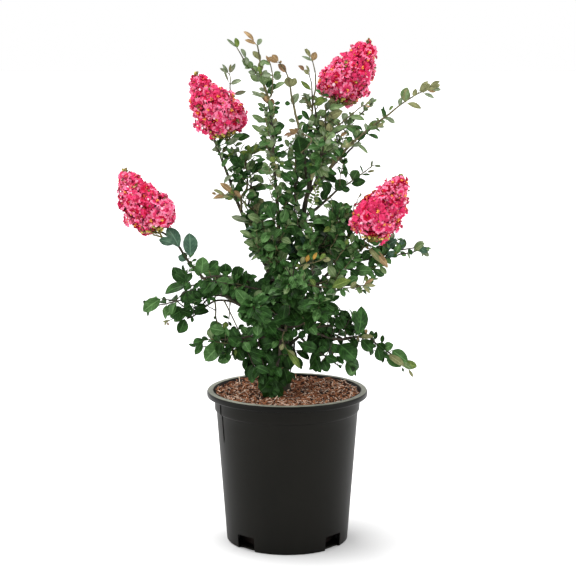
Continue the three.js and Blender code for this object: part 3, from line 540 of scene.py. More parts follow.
# ---- sprays that shape the outline -------------------------------------------
# name, wood, stem points, its radii, then leaves: base, tip, width, tint
# SPRAYS BEGIN
SPRAYS = [
    ("spire_foot", "twig_brown", [(-14.8, -12.5, 555), (-17.1, -15.9, 589), (-19.6, -20.1, 625), (-21.1, -22.8, 647), (-22.6, -25.4, 667), (-23.9, -27.7, 683), (-23, -30, 695)], (1.5, 1.5), [
        ((-32, -29, 698), (-46, -28, 705), 8, "dark"), ((-16, -28, 699), (-8, -27, 703), 6, "dark"), ((-16, -29, 689), (-5, -27, 692), 6, "dark"),
        ((-26, -33, 687), (-29, -34, 701), 11, "moss"), ((-22, -27, 681), (-35, -26, 691), 9, "moss"), ((-21, -27, 675), (-36, -31, 675), 9, "sage"),
        ((-16, -29, 674), (1, -33, 677), 15, "dark"), ((-19, -29, 667), (-12, -29, 681), 11, "dark"), ((-23, -32, 663), (-27, -35, 673), 11, "fresh"),
        ((-23, -30, 647), (-40, -27, 649), 13, "moss"), ((-19, -27, 648), (-22, -31, 663), 13, "olive"),
        ((-18, -27, 646), (-15, -31, 661), 11, "dark"), ((-23, -27, 622), (-33, -30, 623), 6, "dark"), ((-35, -29, 568), (-21, -25, 595), 23, "dark"),
        ((-15, -28, 555), (-8, -35, 584), 19, "dark"), ((-19, -26, 655), (-29, -24, 661), 11, "moss"),
        ((-16, -29, 636), (-12, -26, 650), 11, "olive"), ((-19, -27, 610), (-11, -27, 625), 11, "moss"),
        ((-18, -29, 602), (-25, -26, 612), 6, "dark"), ]),
    ("spire_low", "twig_brown", [(-22, -30, 692), (-25, -33, 719), (-28, -35, 743), (-31, -38, 763)], (1.5, 1.1), [
        ((-26, -37, 756), (-44, -32, 774), 8, "brown"), ((-29, -36, 761), (-38, -39, 774), 8, "bronze"),
        ((-37, -39, 754), (-50, -43, 762), 8, "moss"), ((-22, -40, 761), (-11, -44, 763), 7, "dark"), ((-22, -37, 752), (-12, -37, 755), 7, "dark"),
        ((-22, -38, 745), (-15, -38, 750), 8, "dark"), ((-34, -34, 729), (-59, -39, 743), 10, "moss"), ((-36, -31, 710), (-60, -33, 726), 9, "moss"),
        ((-20, -34, 722), (-4, -35, 725), 13, "dark"), ((-18, -31, 720), (-8, -36, 729), 9, "dark"), ((-18, -30, 708), (-13, -35, 722), 12, "moss"),
        ((-32, -29, 700), (-46, -27, 705), 7, "dark"), ((-32, -33, 697), (-44, -32, 699), 6, "dark"), ((-17, -31, 698), (-8, -31, 702), 7, "dark"),
        ((-26, -38, 747), (-30, -45, 768), 9, "moss"), ((-25, -37, 737), (-20, -33, 759), 9, "olive"), ((-24, -34, 727), (-32, -33, 748), 9, "moss"),
        ((-23, -30, 717), (-19, -26, 738), 9, "olive"), ((-23, -34, 708), (-30, -37, 727), 9, "moss"), ((-22, -30, 698), (-18, -28, 717), 9, "dark"),
        ((-20, -32, 692), (-26, -31, 710), 9, "sage"), ((-25, -34, 754), (-26, -31, 770), 9, "brown"), ]),
    ("spire_main", "twig_green", [(-31, -36, 768), (-37, -40, 787), (-42, -44, 803), (-44, -47, 823), (-47, -51, 846), (-49, -55, 857)], (1.5, 0.6), [
        ((-54, -58, 863), (-72, -53, 880), 8, "bronze"), ((-51, -57, 859), (-70, -61, 866), 7, "bronze"),
        ((-49, -54, 857), (-42, -52, 868), 9, "sage"), ((-44, -48, 833), (-57, -45, 848), 9, "olive"), ((-44, -47, 832), (-50, -50, 847), 8, "olive"),
        ((-44, -48, 823), (-37, -52, 834), 9, "moss"), ((-44, -46, 809), (-48, -51, 824), 8, "fresh"), ((-43, -46, 814), (-45, -43, 831), 9, "olive"),
        ((-37, -42, 791), (-42, -48, 809), 13, "moss"), ((-34, -37, 787), (-26, -38, 803), 13, "dark"), ((-33, -40, 781), (-22, -43, 781), 8, "dark"),
        ((-37, -39, 781), (-47, -38, 787), 8, "sage"), ((-34, -36, 773), (-48, -38, 777), 9, "olive"), ((-37, -39, 773), (-60, -35, 782), 6, "sage"),
        ((-37, -39, 770), (-59, -41, 777), 6, "sage"), ((-40, -42, 795), (-31, -46, 809), 11, "moss"), ((-41, -42, 803), (-34, -39, 817), 9, "sage"),
        ((-33, -35, 777), (-25, -34, 790), 9, "moss"), ]),
    ("spire_side", "twig_green", [(-38, -36, 790), (-44, -36, 802), (-58, -37, 819), (-70, -37, 831), (-77, -38, 843), (-83, -38, 853)], (1.2, 0.45), [
        ((-84, -40, 854), (-100, -43, 868), 5, "sage"), ((-83, -40, 853), (-86, -38, 870), 9, "fresh"), ((-69, -38, 836), (-77, -40, 852), 9, "sage"),
        ((-69, -34, 831), (-75, -33, 834), 8, "sage"), ((-62, -34, 820), (-74, -36, 831), 10, "moss"), ((-61, -37, 820), (-71, -36, 820), 8, "moss"),
        ((-59, -37, 819), (-62, -40, 832), 9, "moss"), ((-52, -37, 810), (-65, -41, 814), 9, "sage"), ((-51, -37, 809), (-55, -34, 825), 10, "moss"),
        ((-44, -34, 798), (-62, -34, 809), 11, "moss"), ((-43, -36, 795), (-51, -40, 814), 9, "sage"), ((-65, -40, 825), (-69, -43, 839), 8, "sage"), ]),
    ("spire_c", "twig_green", [(-26, -46, 777), (-24, -49, 793), (-24, -52, 806), (-26, -55, 819), (-28, -58, 828)], (1.1, 0.45), [
        ((-28, -56, 825), (-35, -54, 841), 5, "bronze"), ((-28, -59, 825), (-41, -57, 832), 8, "moss"),
        ((-24, -50, 808), (-42, -50, 808), 11, "sage"), ((-24, -51, 804), (-40, -50, 798), 9, "moss"), ((-23, -53, 804), (-11, -52, 814), 12, "moss"),
        ((-22, -53, 802), (-9, -55, 809), 9, "sage"), ((-26, -44, 783), (-1, -43, 797), 11, "moss"), ((-28, -47, 782), (-20, -44, 795), 9, "dark"), ]),
    ("bronze", "twig_green", [(22, -38, 712), (19, -41, 726), (14, -44, 743), (12, -47, 754), (7, -51, 775), (5, -54, 790), (-1, -57, 812), (-13, -60, 830)], (1.5, 0.5), [
        ((-15, -59, 829), (-31, -60, 838), 9, "bronze"), ((-14, -63, 831), (-25, -64, 842), 9, "bronze"),
        ((-1, -58, 812), (-15, -58, 827), 12, "brown"), ((5, -54, 788), (1, -52, 806), 14, "olive"), ((6, -53, 789), (14, -51, 804), 11, "olive"),
        ((10, -48, 761), (19, -48, 779), 13, "sage"), ((12, -46, 759), (8, -44, 773), 9, "sage"), ((6, -48, 761), (-4, -47, 763), 8, "dark"),
        ((15, -39, 732), (2, -39, 734), 8, "sage"), ((15, -38, 733), (26, -36, 742), 8, "dark"), ((17, -38, 712), (3, -39, 719), 8, "bronze"),
        ((16, -40, 711), (-6, -37, 708), 7, "brown"), ((16, -35, 712), (-1, -37, 704), 6, "bronze"), ((17, -37, 713), (12, -36, 720), 8, "bronze"),
        ((17, -40, 721), (26, -43, 729), 9, "moss"), ((-12, -58, 829), (-9, -58, 832), 4, "bronze"), ]),
    ("tuft", "twig_green", [(-94, 60, 761), (-99, 63, 782), (-99, 67, 805), (-102, 70, 811)], (1.0, 0.4), [
        ((-102, 71, 811), (-117, 69, 820), 5, "sage"), ((-102, 71, 812), (-113, 72, 827), 5, "sage"), ((-100, 71, 811), (-98, 72, 827), 5, "olive"),
        ((-99, 67, 811), (-90, 62, 828), 6, "sage"), ((-99, 63, 792), (-79, 63, 799), 10, "sage"), ((-101, 65, 794), (-111, 66, 822), 4, "sage"),
        ((-94, 64, 775), (-71, 56, 780), 8, "sage"), ]),
    ("centre_a", "twig_green", [(43, 10, 731), (43, 7, 752), (44, 3, 767), (48, 0, 785), (48, -3, 802), (47, -7, 814), (43, -10, 831)], (1.3, 0.5), [
        ((40, -10, 838), (29, -14, 852), 8, "olive"), ((43, -13, 832), (48, -17, 847), 11, "bronze"), ((43, -11, 832), (24, -16, 840), 5, "sage"),
        ((36, -12, 843), (32, -15, 853), 4, "olive"), ((47, 6, 758), (63, 4, 764), 16, "fresh"), ((42, 11, 735), (63, 10, 748), 10, "moss"),
        ((38, 8, 731), (25, 12, 749), 9, "dark"), ((36, 7, 717), (22, 5, 730), 8, "dark"), ((41, 9, 720), (43, 6, 744), 9, "moss"),
        ((49, 8, 719), (52, 11, 745), 10, "moss"), ((42, 6, 752), (30, 0, 767), 9, "olive"), ]),
    ("centre_b", "twig_green", [(43, 6, 767), (42, -1, 781), (41, -7, 795), (37, -14, 809)], (0.9, 0.4), [
        ((29, -13, 816), (18, -18, 824), 8, "brown"), ((37, -14, 809), (28, -16, 817), 8, "olive"), ((38, -14, 813), (32, -11, 825), 4, "olive"),
        ((41, 1, 783), (23, -2, 799), 8, "fresh"), ((42, 8, 757), (24, 8, 771), 11, "olive"), ((41, 5, 766), (26, 0, 778), 8, "sage"),
        ((37, -13, 809), (30, -14, 816), 2, "olive"), ]),
    ("centre_r", "twig_green", [(65, 16, 698), (66, 21, 724), (66, 26, 759)], (1.2, 0.6), [
        ((67, 29, 752), (84, 33, 766), 15, "olive"), ((69, 22, 738), (96, 17, 746), 15, "olive"), ((67, 28, 746), (71, 22, 763), 11, "sage"),
        ((65, 19, 729), (79, 18, 738), 11, "moss"), ((65, 22, 722), (92, 14, 731), 13, "moss"), ((65, 22, 735), (55, 24, 750), 11, "moss"),
        ((66, 20, 721), (53, 18, 731), 11, "olive"), ((65, 14, 710), (82, 11, 716), 11, "moss"), ((64, 19, 710), (52, 17, 720), 11, "dark"),
        ((63, 19, 698), (75, 21, 705), 11, "moss"), ]),
    ("left_inner", "twig_green", [(-79, 24, 583), (-79, 26, 600), (-70, 27, 614), (-69, 29, 632), (-70, 31, 644), (-73, 32, 663), (-70, 34, 672)], (1.4, 0.7), [
        ((-73, 31, 649), (-100, 24, 671), 17, "dark"), ((-74, 34, 641), (-96, 32, 647), 12, "dark"), ((-73, 27, 623), (-96, 22, 639), 14, "dark"),
        ((-75, 30, 608), (-90, 29, 617), 10, "dark"), ((-68, 28, 626), (-43, 25, 635), 11, "dark"), ((-68, 25, 614), (-39, 25, 615), 11, "dark"),
        ((-72, 25, 597), (-48, 20, 608), 19, "dark"), ((-67, 32, 641), (-35, 36, 656), 17, "dark"), ((-70, 28, 645), (-54, 26, 663), 15, "moss"),
        ((-64, 33, 670), (-82, 36, 677), 10, "fresh"), ((-64, 36, 671), (-68, 31, 690), 9, "fresh"), ((-64, 33, 672), (-50, 27, 691), 14, "fresh"),
        ((-61, 37, 675), (-41, 33, 685), 9, "fresh"), ((-69, 35, 679), (-71, 34, 688), 8, "dark"), ((-72, 33, 657), (-79, 33, 673), 13, "moss"),
        ((-70, 34, 663), (-61, 30, 675), 11, "moss"), ((-84, 36, 677), (-100, 33, 679), 8, "sage"), ]),
    ("under_ul", "twig_brown", [(-114.8, 40.5, 668), (-119.9, 42.5, 681), (-124.1, 44.2, 692)], (0.8, 0.8), [
        ((-107, 42, 686), (-82, 37, 703), 11, "sage"), ((-87, 39, 697), (-64, 37, 704), 15, "dark"), ((-116, 42, 677), (-126, 40, 681), 9, "sage"),
        ((-113, 43, 675), (-104, 43, 683), 8, "olive"), ((-113, 39, 680), (-123, 36, 687), 6, "sage"), ((-109, 40, 690), (-95, 42, 697), 9, "mid"), ]),
    ("left_bronze", "twig_green", [(-60, 18, 575), (-70, 10, 588), (-77, 3, 596), (-91, -4, 606), (-100, -12, 608)], (1.3, 0.5), [
        ((-92, -2, 609), (-115, -4, 626), 11, "bronze"), ((-97, -15, 604), (-127, -13, 600), 9, "olive"),
        ((-120, -12, 607), (-129, -13, 610), 5, "bronze"), ((-91, -3, 603), (-98, -3, 615), 8, "fresh"), ((-79, 3, 601), (-91, 5, 612), 8, "bronze"),
        ((-92, -5, 601), (-102, -7, 597), 8, "fresh"), ((-57, 20, 568), (-41, 12, 598), 17, "olive"), ((-59, 17, 559), (-64, 19, 578), 9, "bronze"),
        ((-61, 15, 555), (-97, 20, 566), 11, "sage"), ((-49, 19, 541), (-70, 16, 557), 10, "olive"), ((-54, 17, 566), (-61, 18, 585), 11, "fresh"),
        ((-56, 20, 551), (-67, 16, 563), 9, "olive"), ]),
    ("between", "twig_brown", [(1, 8, 548), (-4, 4, 579), (8, 1, 608), (16, -3, 628), (25, -6, 654), (30, -10, 666)], (1.6, 0.9), [
        ((5, 1, 611), (26, 0, 617), 13, "dark"), ((2, 1, 599), (21, -2, 604), 11, "dark"), ((18, 2, 575), (16, 2, 594), 9, "dark"),
        ((-2, 6, 579), (12, 1, 586), 11, "dark"), ((-12, -4, 633), (-8, -3, 648), 11, "moss"), ((13, -1, 634), (25, -1, 654), 15, "dark"),
        ((-5, -2, 613), (-12, -1, 628), 13, "moss"), ((3, -4, 661), (8, 2, 689), 11, "moss"), ((13, -5, 660), (25, -10, 667), 9, "fresh"),
        ((9, -1, 634), (2, -3, 628), 9, "dark"), ((-4, 5, 593), (-12, 8, 607), 13, "dark"), ((-1, 6, 586), (-8, 2, 599), 11, "moss"),
        ((-4, 3, 565), (11, 6, 575), 11, "dark"), ((16, -5, 628), (3, -5, 624), 9, "dark"), ((28, -7, 660), (15, -11, 666), 9, "fresh"), ]),
    ("round", "twig_green", [(41, -56, 702), (23, -60, 681)], (0.9, 0.7), [
        ((23, -59, 680), (17, -69, 708), 28, "deep_and_shade"), ]),
    ("right_spray", "twig_green", [(73, -12, 653), (88, -17, 672), (101, -22, 686), (117, -27, 702), (134, -32, 717), (155, -37, 733), (170, -42, 744), (180, -47, 753), (194, -52, 764), (220, -57, 780), (247, -62, 790)], (1.7, 0.45), [
        ((197, -54, 764), (198, -58, 787), 15, "olive"), ((198, -55, 763), (222, -63, 754), 9, "olive"),
        ((226, -57, 779), (244, -55, 771), 7, "sage"), ((170, -40, 750), (178, -43, 758), 6, "fresh"), ((165, -42, 741), (156, -45, 753), 8, "dark"),
        ((162, -41, 740), (160, -43, 758), 4, "dark"), ((164, -39, 740), (180, -42, 729), 8, "sage"), ((133, -35, 718), (156, -34, 731), 15, "moss"),
        ((151, -39, 723), (162, -39, 722), 4, "sage"), ((135, -32, 710), (154, -29, 703), 10, "dark"), ((116, -27, 700), (131, -27, 713), 11, "dark"),
        ((109, -23, 689), (126, -24, 695), 8, "sage"), ((91, -23, 688), (115, -22, 699), 15, "olive"), ((100, -22, 697), (110, -25, 705), 9, "dark"),
        ((80, -19, 673), (95, -22, 686), 15, "dark"), ((220, -56, 780), (236, -62, 795), 11, "olive"), ((238, -61, 787), (253, -61, 793), 8, "olive"),
        ((232, -59, 784), (247, -59, 783), 6, "bronze"), ((186, -49, 758), (190, -54, 772), 8, "sage"),
        ((209, -56, 773), (213, -60, 787), 8, "olive"), ((90, -15, 672), (102, -16, 677), 9, "dark"), ((103, -23, 688), (98, -22, 700), 11, "moss"),
        ((120, -30, 705), (117, -29, 717), 11, "moss"), ]),
    ("right_up", "twig_green", [(56, 0, 699), (74, -2, 713), (91, -3, 727), (105, -5, 739), (115, -7, 747), (123, -8, 754), (134, -10, 760)], (1.2, 0.4), [
        ((74, -4, 713), (102, -13, 724), 9, "moss"), ((98, -1, 722), (125, 0, 713), 13, "moss"), ((105, -7, 739), (131, -15, 733), 11, "moss"),
        ((94, 0, 732), (102, 0, 744), 13, "sage"), ((125, -6, 756), (129, -9, 765), 5, "sage"), ((132, -9, 757), (141, -11, 766), 4, "olive"),
        ((131, -12, 757), (141, -13, 755), 4, "bronze"), ((112, -6, 742), (112, -7, 747), 4, "olive"), ((90, -2, 706), (102, -6, 711), 7, "bronze"),
        ((69, 0, 737), (94, 1, 748), 15, "olive"), ((70, -2, 750), (97, -5, 757), 9, "moss"), ((73, -1, 748), (84, -2, 760), 11, "moss"),
        ((56, -1, 741), (64, -2, 750), 11, "moss"), ((64, 0, 708), (57, -2, 722), 11, "moss"), ((73, -4, 713), (70, -9, 728), 11, "olive"),
        ((81, -3, 720), (92, -8, 716), 11, "moss"), ((86, -1, 723), (83, -2, 736), 11, "moss"), ]),
    ("right_twig", "twig_green", [(48, 22, 577), (63, 25, 590), (76, 28, 601), (87, 32, 611), (106, 35, 622), (118, 38, 631), (129, 42, 638), (144, 45, 649), (150, 48, 653)], (1.5, 0.4), [
        ((100, 37, 611), (84, 28, 629), 23, "dark"), ((94, 32, 611), (109, 34, 612), 11, "dark"), ((113, 39, 626), (123, 37, 645), 19, "mid"),
        ((110, 35, 621), (136, 27, 627), 15, "dark"), ((102, 33, 630), (97, 26, 656), 9, "dark"), ((96, 37, 657), (105, 36, 662), 8, "dark"),
        ((132, 44, 639), (126, 40, 654), 3, "dark"), ((129, 40, 637), (144, 37, 637), 5, "dark"), ((138, 39, 641), (152, 37, 644), 5, "olive"),
        ((146, 43, 649), (148, 42, 662), 4, "sage"), ((150, 45, 652), (163, 47, 651), 5, "sage"), ((73, 28, 603), (64, 32, 626), 17, "dark"),
        ((68, 26, 593), (92, 27, 583), 11, "dark"), ((81, 25, 568), (83, 28, 583), 11, "mid"), ((100, 26, 568), (102, 27, 590), 17, "fresh"),
        ((60, 30, 637), (86, 31, 639), 13, "dark"), ((60, 27, 593), (71, 21, 614), 15, "dark"), ((55, 23, 584), (48, 18, 601), 15, "dark"),
        ((63, 24, 589), (49, 19, 593), 11, "dark"), ]),
    ("by_right_head", "twig_green", [(111, -60, 584), (115, -61, 594), (118, -63, 604), (123, -64, 614)], (0.7, 0.3), [
        ((119, -62, 597), (127, -60, 601), 6, "sage"), ((116, -62, 598), (111, -64, 591), 5, "sage"), ((120, -63, 607), (124, -65, 614), 3, "sage"), ]),
    ("arm_tip", "twig_brown", [(-160, -25, 483), (-175, -27, 503.5), (-187, -29, 525)], (0.8, 0.6), [
        ((-183, -29, 517), (-204, -27, 552), 23, "blue_and_sheen"), ((-190, -36, 525), (-217, -42, 533), 15, "blue_and_sheen"),
        ((-165, -26, 500), (-167, -19, 542), 26, "blue_and_sheen"), ((-171, -26, 496), (-186, -28, 503), 13, "blue_and_sheen"),
        ((-171, -24, 497), (-180, -29, 510), 9, "dark"), ((-163, -30, 495), (-154, -29, 498), 5, "dark"),
        ((-159, -24, 483), (-171, -29, 492), 6, "dark"), ((-167, -27, 500), (-159, -23, 514), 9, "dark"), ]),
    ("arm_cluster", "twig_brown", [(-26, -4, 458), (-52, -8, 451), (-72, -13, 460), (-94, -17, 465), (-111, -21, 467), (-126, -26, 468), (-146, -30, 465)], (1.8, 1.1), [
        ((-146, -30, 472), (-143, -35, 503), 23, "mid"), ((-134, -28, 479), (-117, -35, 496), 17, "dark"),
        ((-114, -19, 472), (-144, -21, 473), 21, "mid"), ((-105, -19, 468), (-105, -26, 491), 22, "dark"),
        ((-97, -19, 464), (-73, -28, 481), 23, "dark"), ((-68, -13, 458), (-51, -19, 467), 13, "dark"),
        ((-55, -10, 450), (-29, -13, 460), 17, "dark"), ((-123, -27, 462), (-145, -37, 440), 26, "dark"),
        ((-122, -28, 462), (-97, -23, 452), 23, "mid"), ((-103, -23, 464), (-83, -25, 458), 15, "sage"),
        ((-82, -13, 452), (-65, -15, 433), 23, "blue_and_sheen"), ((-58, -11, 451), (-38, -15, 443), 17, "dark"),
        ((-119, -24, 452), (-116, -25, 436), 9, "dark"), ((-94, -14, 460), (-104, -15, 444), 13, "dark"),
        ((-76, -11, 459), (-85, -15, 444), 15, "dark"), ((-140, -33, 463), (-149, -34, 450), 17, "dark"),
        ((-129, -26, 462), (-122, -26, 443), 15, "dark"), ((-116, -22, 469), (-125, -22, 486), 17, "mid"),
        ((-40, -3, 458), (-29, 0, 470), 13, "dark"), ((-35, -5, 449), (-26, -7, 435), 17, "dark"), ((-151, -28, 468), (-158, -33, 488), 11, "mid"), ]),
    ("arm_left", "twig_brown", [(-126, 2, 432), (-139, 3, 443), (-153, 4, 448), (-169, 5, 448), (-177, 6, 447)], (1.4, 0.6), [
        ((-174, 4, 449), (-197, -3, 481), 23, "dark"), ((-172, 3, 448), (-212, 6, 433), 23, "dark"), ((-174, 8, 441), (-182, 3, 417), 15, "dark"),
        ((-167, 3, 443), (-153, -7, 414), 24, "dark"), ((-153, 1, 416), (-152, -4, 400), 15, "dark"), ((-158, 4, 445), (-167, 3, 427), 15, "mid"),
        ((-142, 1, 442), (-136, -4, 425), 15, "dark"), ((-155, 5, 444), (-145, -1, 428), 15, "dark"), ]),
    ("far_left", "twig_brown", [(-162, 8, 399), (-173, 9, 405), (-184, 10, 413), (-193, 12, 419), (-209, 13, 422), (-218, 14, 423)], (1.0, 0.5), [
        ((-219, 12, 424), (-250, 5, 402), 23, "mid"), ((-192, 11, 418), (-210, 2, 395), 17, "mid"), ((-178, 9, 407), (-203, 3, 392), 24, "dark"),
        ((-178, 11, 389), (-189, 9, 363), 21, "dark"), ((-178, 12, 405), (-168, 12, 389), 11, "dark"), ((-175, 11, 394), (-198, 10, 384), 11, "mid"),
        ((-184, 10, 410), (-194, 12, 399), 15, "dark"), ((-170, 10, 405), (-178, 13, 419), 11, "dark"), ]),
    ("berry_twig", "twig_green", [(-189, 10, 392), (-202, 11, 387), (-210, 12, 382)], (0.5, 0.35), [
        ((-205, 12, 386), (-217, 13, 382), 4, "olive"), ((-210, 11, 382), (-214, 11, 377), 4, "olive"),
        ((-209, 11, 382), (-207, 10, 377), 4, "brown"), ]),
    ("arch_one", "twig_brown", [(-57, 12, 403), (-78, 12, 410), (-95, 11, 418), (-111, 10, 421), (-125, 10, 420), (-136, 10, 414), (-149, 9, 405), (-162, 8, 394), (-174, 8, 389)], (1.6, 0.7), [
        ((-165, 6, 393), (-165, 3, 383), 6, "dark"), ((-159, 7, 398), (-168, 7, 404), 8, "dark"), ]),
    ("arch_two", "twig_brown", [(-49, 6, 411), (-65, 5, 417), (-84, 4, 427), (-101, 4, 429), (-120, 3, 432), (-131, 2, 435)], (1.5, 0.8), [
        ((-90, 3, 433), (-108, -3, 428), 15, "dark"), ((-56, 8, 406), (-82, 6, 395), 19, "dark"), ((-57, 3, 382), (-74, -3, 394), 13, "dark"),
        ((-100, 1, 390), (-112, -1, 396), 5, "dark"), ((-103, 6, 385), (-97, 8, 376), 5, "dark"), ]),
    ("hang_one", "twig_green", [(-126, 8, 425), (-124, 5, 408), (-124, 3, 392), (-120, 0, 381)], (0.9, 0.7), [
        ((-111, 1, 380), (-134, -5, 373), 21, "mid"), ((-108, 0, 373), (-107, -2, 386), 11, "fresh"), ((-124, 2, 391), (-128, 0, 392), 6, "dark"), ]),
    ("hang_two", "twig_green", [(-109, 6, 420), (-97, 1, 397), (-85, -3, 372), (-79, -8, 360)], (0.85, 0.6), [
        ((-85, -3, 372), (-75, -1, 380), 9, "dark"), ((-86, -2, 370), (-98, -6, 374), 11, "dark"), ]),
    ("low_left", "twig_brown", [(-16, -12, 362), (-42, -16, 360), (-61, -19, 363), (-79, -23, 360), (-92, -26, 358), (-110, -30, 359)], (1.9, 0.7), [
        ((-105, -30, 374), (-132, -37, 380), 19, "mid"), ((-106, -29, 377), (-109, -30, 389), 10, "fresh"),
        ((-100, -24, 363), (-123, -22, 372), 15, "dark"), ((-86, -29, 363), (-94, -32, 379), 17, "dark"),
        ((-108, -28, 354), (-141, -32, 322), 30, "mid"), ((-95, -27, 331), (-120, -30, 321), 17, "mid"),
        ((-102, -28, 353), (-102, -27, 343), 9, "dark"), ((-84, -26, 341), (-95, -23, 330), 11, "dark"),
        ((-90, -26, 344), (-87, -31, 329), 6, "fresh"), ((-69, -17, 367), (-79, -19, 379), 13, "mid"), ((-68, -22, 364), (-57, -18, 379), 17, "dark"),
        ((-102, -33, 364), (-82, -34, 348), 17, "dark"), ((-65, -19, 351), (-80, -17, 364), 13, "mid"),
        ((-68, -20, 362), (-57, -26, 339), 21, "dark"), ((-65, -24, 340), (-84, -29, 329), 17, "dark"),
        ((-58, -19, 324), (-74, -23, 305), 23, "dark"), ((-56, -18, 332), (-37, -24, 310), 24, "dark"),
        ((-51, -16, 345), (-23, -23, 352), 23, "dark"), ((-48, -13, 337), (-26, -10, 332), 17, "dark"),
        ((-39, -14, 381), (-47, -14, 402), 21, "dark"), ((-15, -13, 366), (-47, -21, 373), 23, "dark"),
        ((-32, -14, 361), (-22, -15, 372), 17, "dark"), ((-58, -22, 341), (-69, -27, 324), 21, "dark"),
        ((-51, -18, 332), (-60, -17, 311), 23, "dark"), ((-36, -13, 361), (-44, -17, 348), 17, "dark"),
        ((-79, -21, 358), (-72, -24, 341), 15, "dark"), ((-28, -11, 357), (-20, -8, 338), 15, "dark"), ]),
    ("low_left_twig", "twig_green", [(-110, -24, 358), (-129, -25, 359), (-142, -26, 357)], (0.7, 0.35), [
        ((-142, -25, 357), (-162, -23, 351), 15, "dark"), ((-146, -27, 355), (-158, -36, 334), 13, "dark"), ]),
    ("sage_leaf", "twig_green", [(-12, -60, 441), (-5, -64, 434)], (0.7, 0.5), [
        ((-5, -64, 433), (-4, -65, 413), 10, "fresh"), ]),
    ("foot", "twig_brown", [(-12, -16, 350), (-14, -26, 325), (-19, -36, 303), (-25, -46, 289)], (1.8, 0.8), [
        ((-20, -38, 295), (-42, -41, 293), 19, "dark"), ((-22, -47, 289), (-8, -57, 266), 23, "deep_and_shade"), ((-25, -47, 289), (-46, -51, 273), 23, "deep_and_shade"),
        ((-28, -46, 281), (-35, -45, 258), 21, "deep_and_shade"), ((-20, -37, 295), (-46, -31, 303), 19, "deep_and_shade"),
        ((-18, -34, 297), (-28, -31, 310), 17, "deep_and_shade"), ((-14, -35, 308), (4, -34, 283), 23, "deep_and_shade"), ((-8, -26, 333), (-14, -24, 309), 21, "deep_and_shade"),
        ((-2, -27, 331), (6, -27, 307), 19, "deep_and_shade"), ((-6, -35, 311), (1, -37, 284), 19, "deep_and_shade"), ((-8, -37, 309), (-16, -44, 289), 17, "deep_and_shade"),
        ((-23, -48, 287), (-22, -52, 265), 21, "dark"), ((-18, -36, 314), (-35, -34, 308), 19, "dark"),
        ((-16, -25, 317), (-30, -28, 326), 17, "dark"), ((-12, -13, 339), (-24, -17, 324), 17, "dark"), ((-8, -15, 345), (5, -21, 332), 17, "dark"),
        ((-11, -24, 322), (1, -24, 311), 19, "dark"), ]),
    ("young_pair", "twig_green", [(-8, -50, 367), (-6, -53, 357), (-2, -56, 349)], (0.9, 0.6), [
        ((-2, -53, 349), (22, -47, 312), 11, "fresh"), ((0, -55, 346), (14, -53, 333), 9, "olive"), ((-6, -52, 357), (-11, -52, 345), 8, "olive"), ]),
    ("low_arm", "twig_brown", [(42, -24, 372), (74, -26, 362), (94, -28, 359), (114, -29, 363), (125, -31, 364), (142, -33, 363), (152, -35, 353), (165, -36, 345), (182, -38, 332), (199, -40, 318)], (1.9, 0.6), [
        ((116, -31, 367), (101, -32, 378), 17, "dark"), ((136, -31, 369), (135, -32, 378), 5, "bronze"),
        ((142, -30, 366), (144, -30, 371), 6, "olive"), ((125, -32, 364), (148, -40, 366), 9, "olive"),
        ((126, -32, 360), (146, -39, 341), 21, "dark"), ((151, -34, 359), (153, -32, 374), 8, "deep_and_shade"), ((162, -34, 353), (164, -34, 368), 8, "deep_and_shade"),
        ((153, -35, 354), (167, -41, 343), 15, "deep_and_shade"), ((156, -35, 342), (165, -36, 325), 15, "deep_and_shade"), ((165, -35, 342), (182, -38, 352), 17, "mid"),
        ((179, -36, 342), (206, -44, 323), 24, "mid"), ((169, -39, 331), (195, -46, 315), 19, "mid"), ((192, -39, 321), (223, -35, 313), 15, "fresh"),
        ((198, -42, 313), (199, -42, 305), 4, "dark"), ((208, -38, 309), (216, -42, 296), 5, "olive"), ((99, -30, 376), (85, -31, 399), 23, "dark"),
        ((85, -24, 401), (109, -21, 400), 15, "dark"), ((75, -24, 363), (76, -26, 379), 13, "deep_and_shade"), ((70, -24, 440), (82, -26, 425), 15, "mid"),
        ((108, -27, 361), (119, -30, 350), 11, "dark"), ((145, -34, 361), (139, -34, 345), 15, "dark"), ]),
    ("paddle", "twig_green", [(120, -50, 362), (121, -54, 369)], (1.0, 0.8), [
        ((121, -51, 369), (125, -64, 423), 24, "dark"), ]),
    ("low_right", "twig_brown", [(22, -16, 362), (42, -20, 342), (57, -23, 334), (74, -26, 324), (92, -30, 310)], (1.5, 0.5), [
        ((88, -29, 351), (118, -41, 326), 34, "dark"), ((102, -30, 323), (113, -30, 295), 21, "mid"), ((88, -32, 321), (66, -38, 332), 17, "dark"),
        ((61, -26, 321), (70, -26, 302), 17, "dark"), ((47, -18, 342), (50, -16, 299), 19, "dark"), ((54, -26, 340), (21, -28, 350), 21, "dark"),
        ((49, -17, 338), (71, -13, 352), 23, "dark"), ((41, -17, 382), (70, -13, 367), 23, "dark"), ((68, -22, 363), (49, -18, 379), 21, "dark"),
        ((88, -32, 316), (93, -31, 309), 5, "dark"), ((22, -14, 380), (13, -15, 375), 13, "deep_and_shade"), ((78, -25, 352), (88, -30, 335), 17, "dark"),
        ((57, -22, 351), (69, -27, 339), 19, "dark"), ((32, -18, 362), (19, -18, 368), 15, "dark"), ((29, -18, 380), (41, -17, 368), 15, "dark"), ]),
    ("right_reach", "twig_brown", [(106, -44, 488), (132, -45, 501), (156, -46, 509), (186, -46, 515), (216, -47, 520), (231, -48, 520)], (1.4, 0.5), [
        ((164, -44, 512), (179, -42, 533), 15, "dark"), ((194, -45, 516), (198, -44, 535), 10, "dark"), ((213, -45, 520), (231, -41, 530), 9, "sage"),
        ((226, -47, 521), (241, -44, 515), 8, "sage"), ((167, -48, 512), (186, -54, 505), 13, "dark"), ((204, -50, 519), (211, -53, 509), 8, "dark"),
        ((182, -47, 516), (174, -49, 528), 9, "dark"), ((147, -45, 507), (162, -43, 523), 13, "dark"), ((137, -47, 503), (154, -50, 496), 11, "dark"),
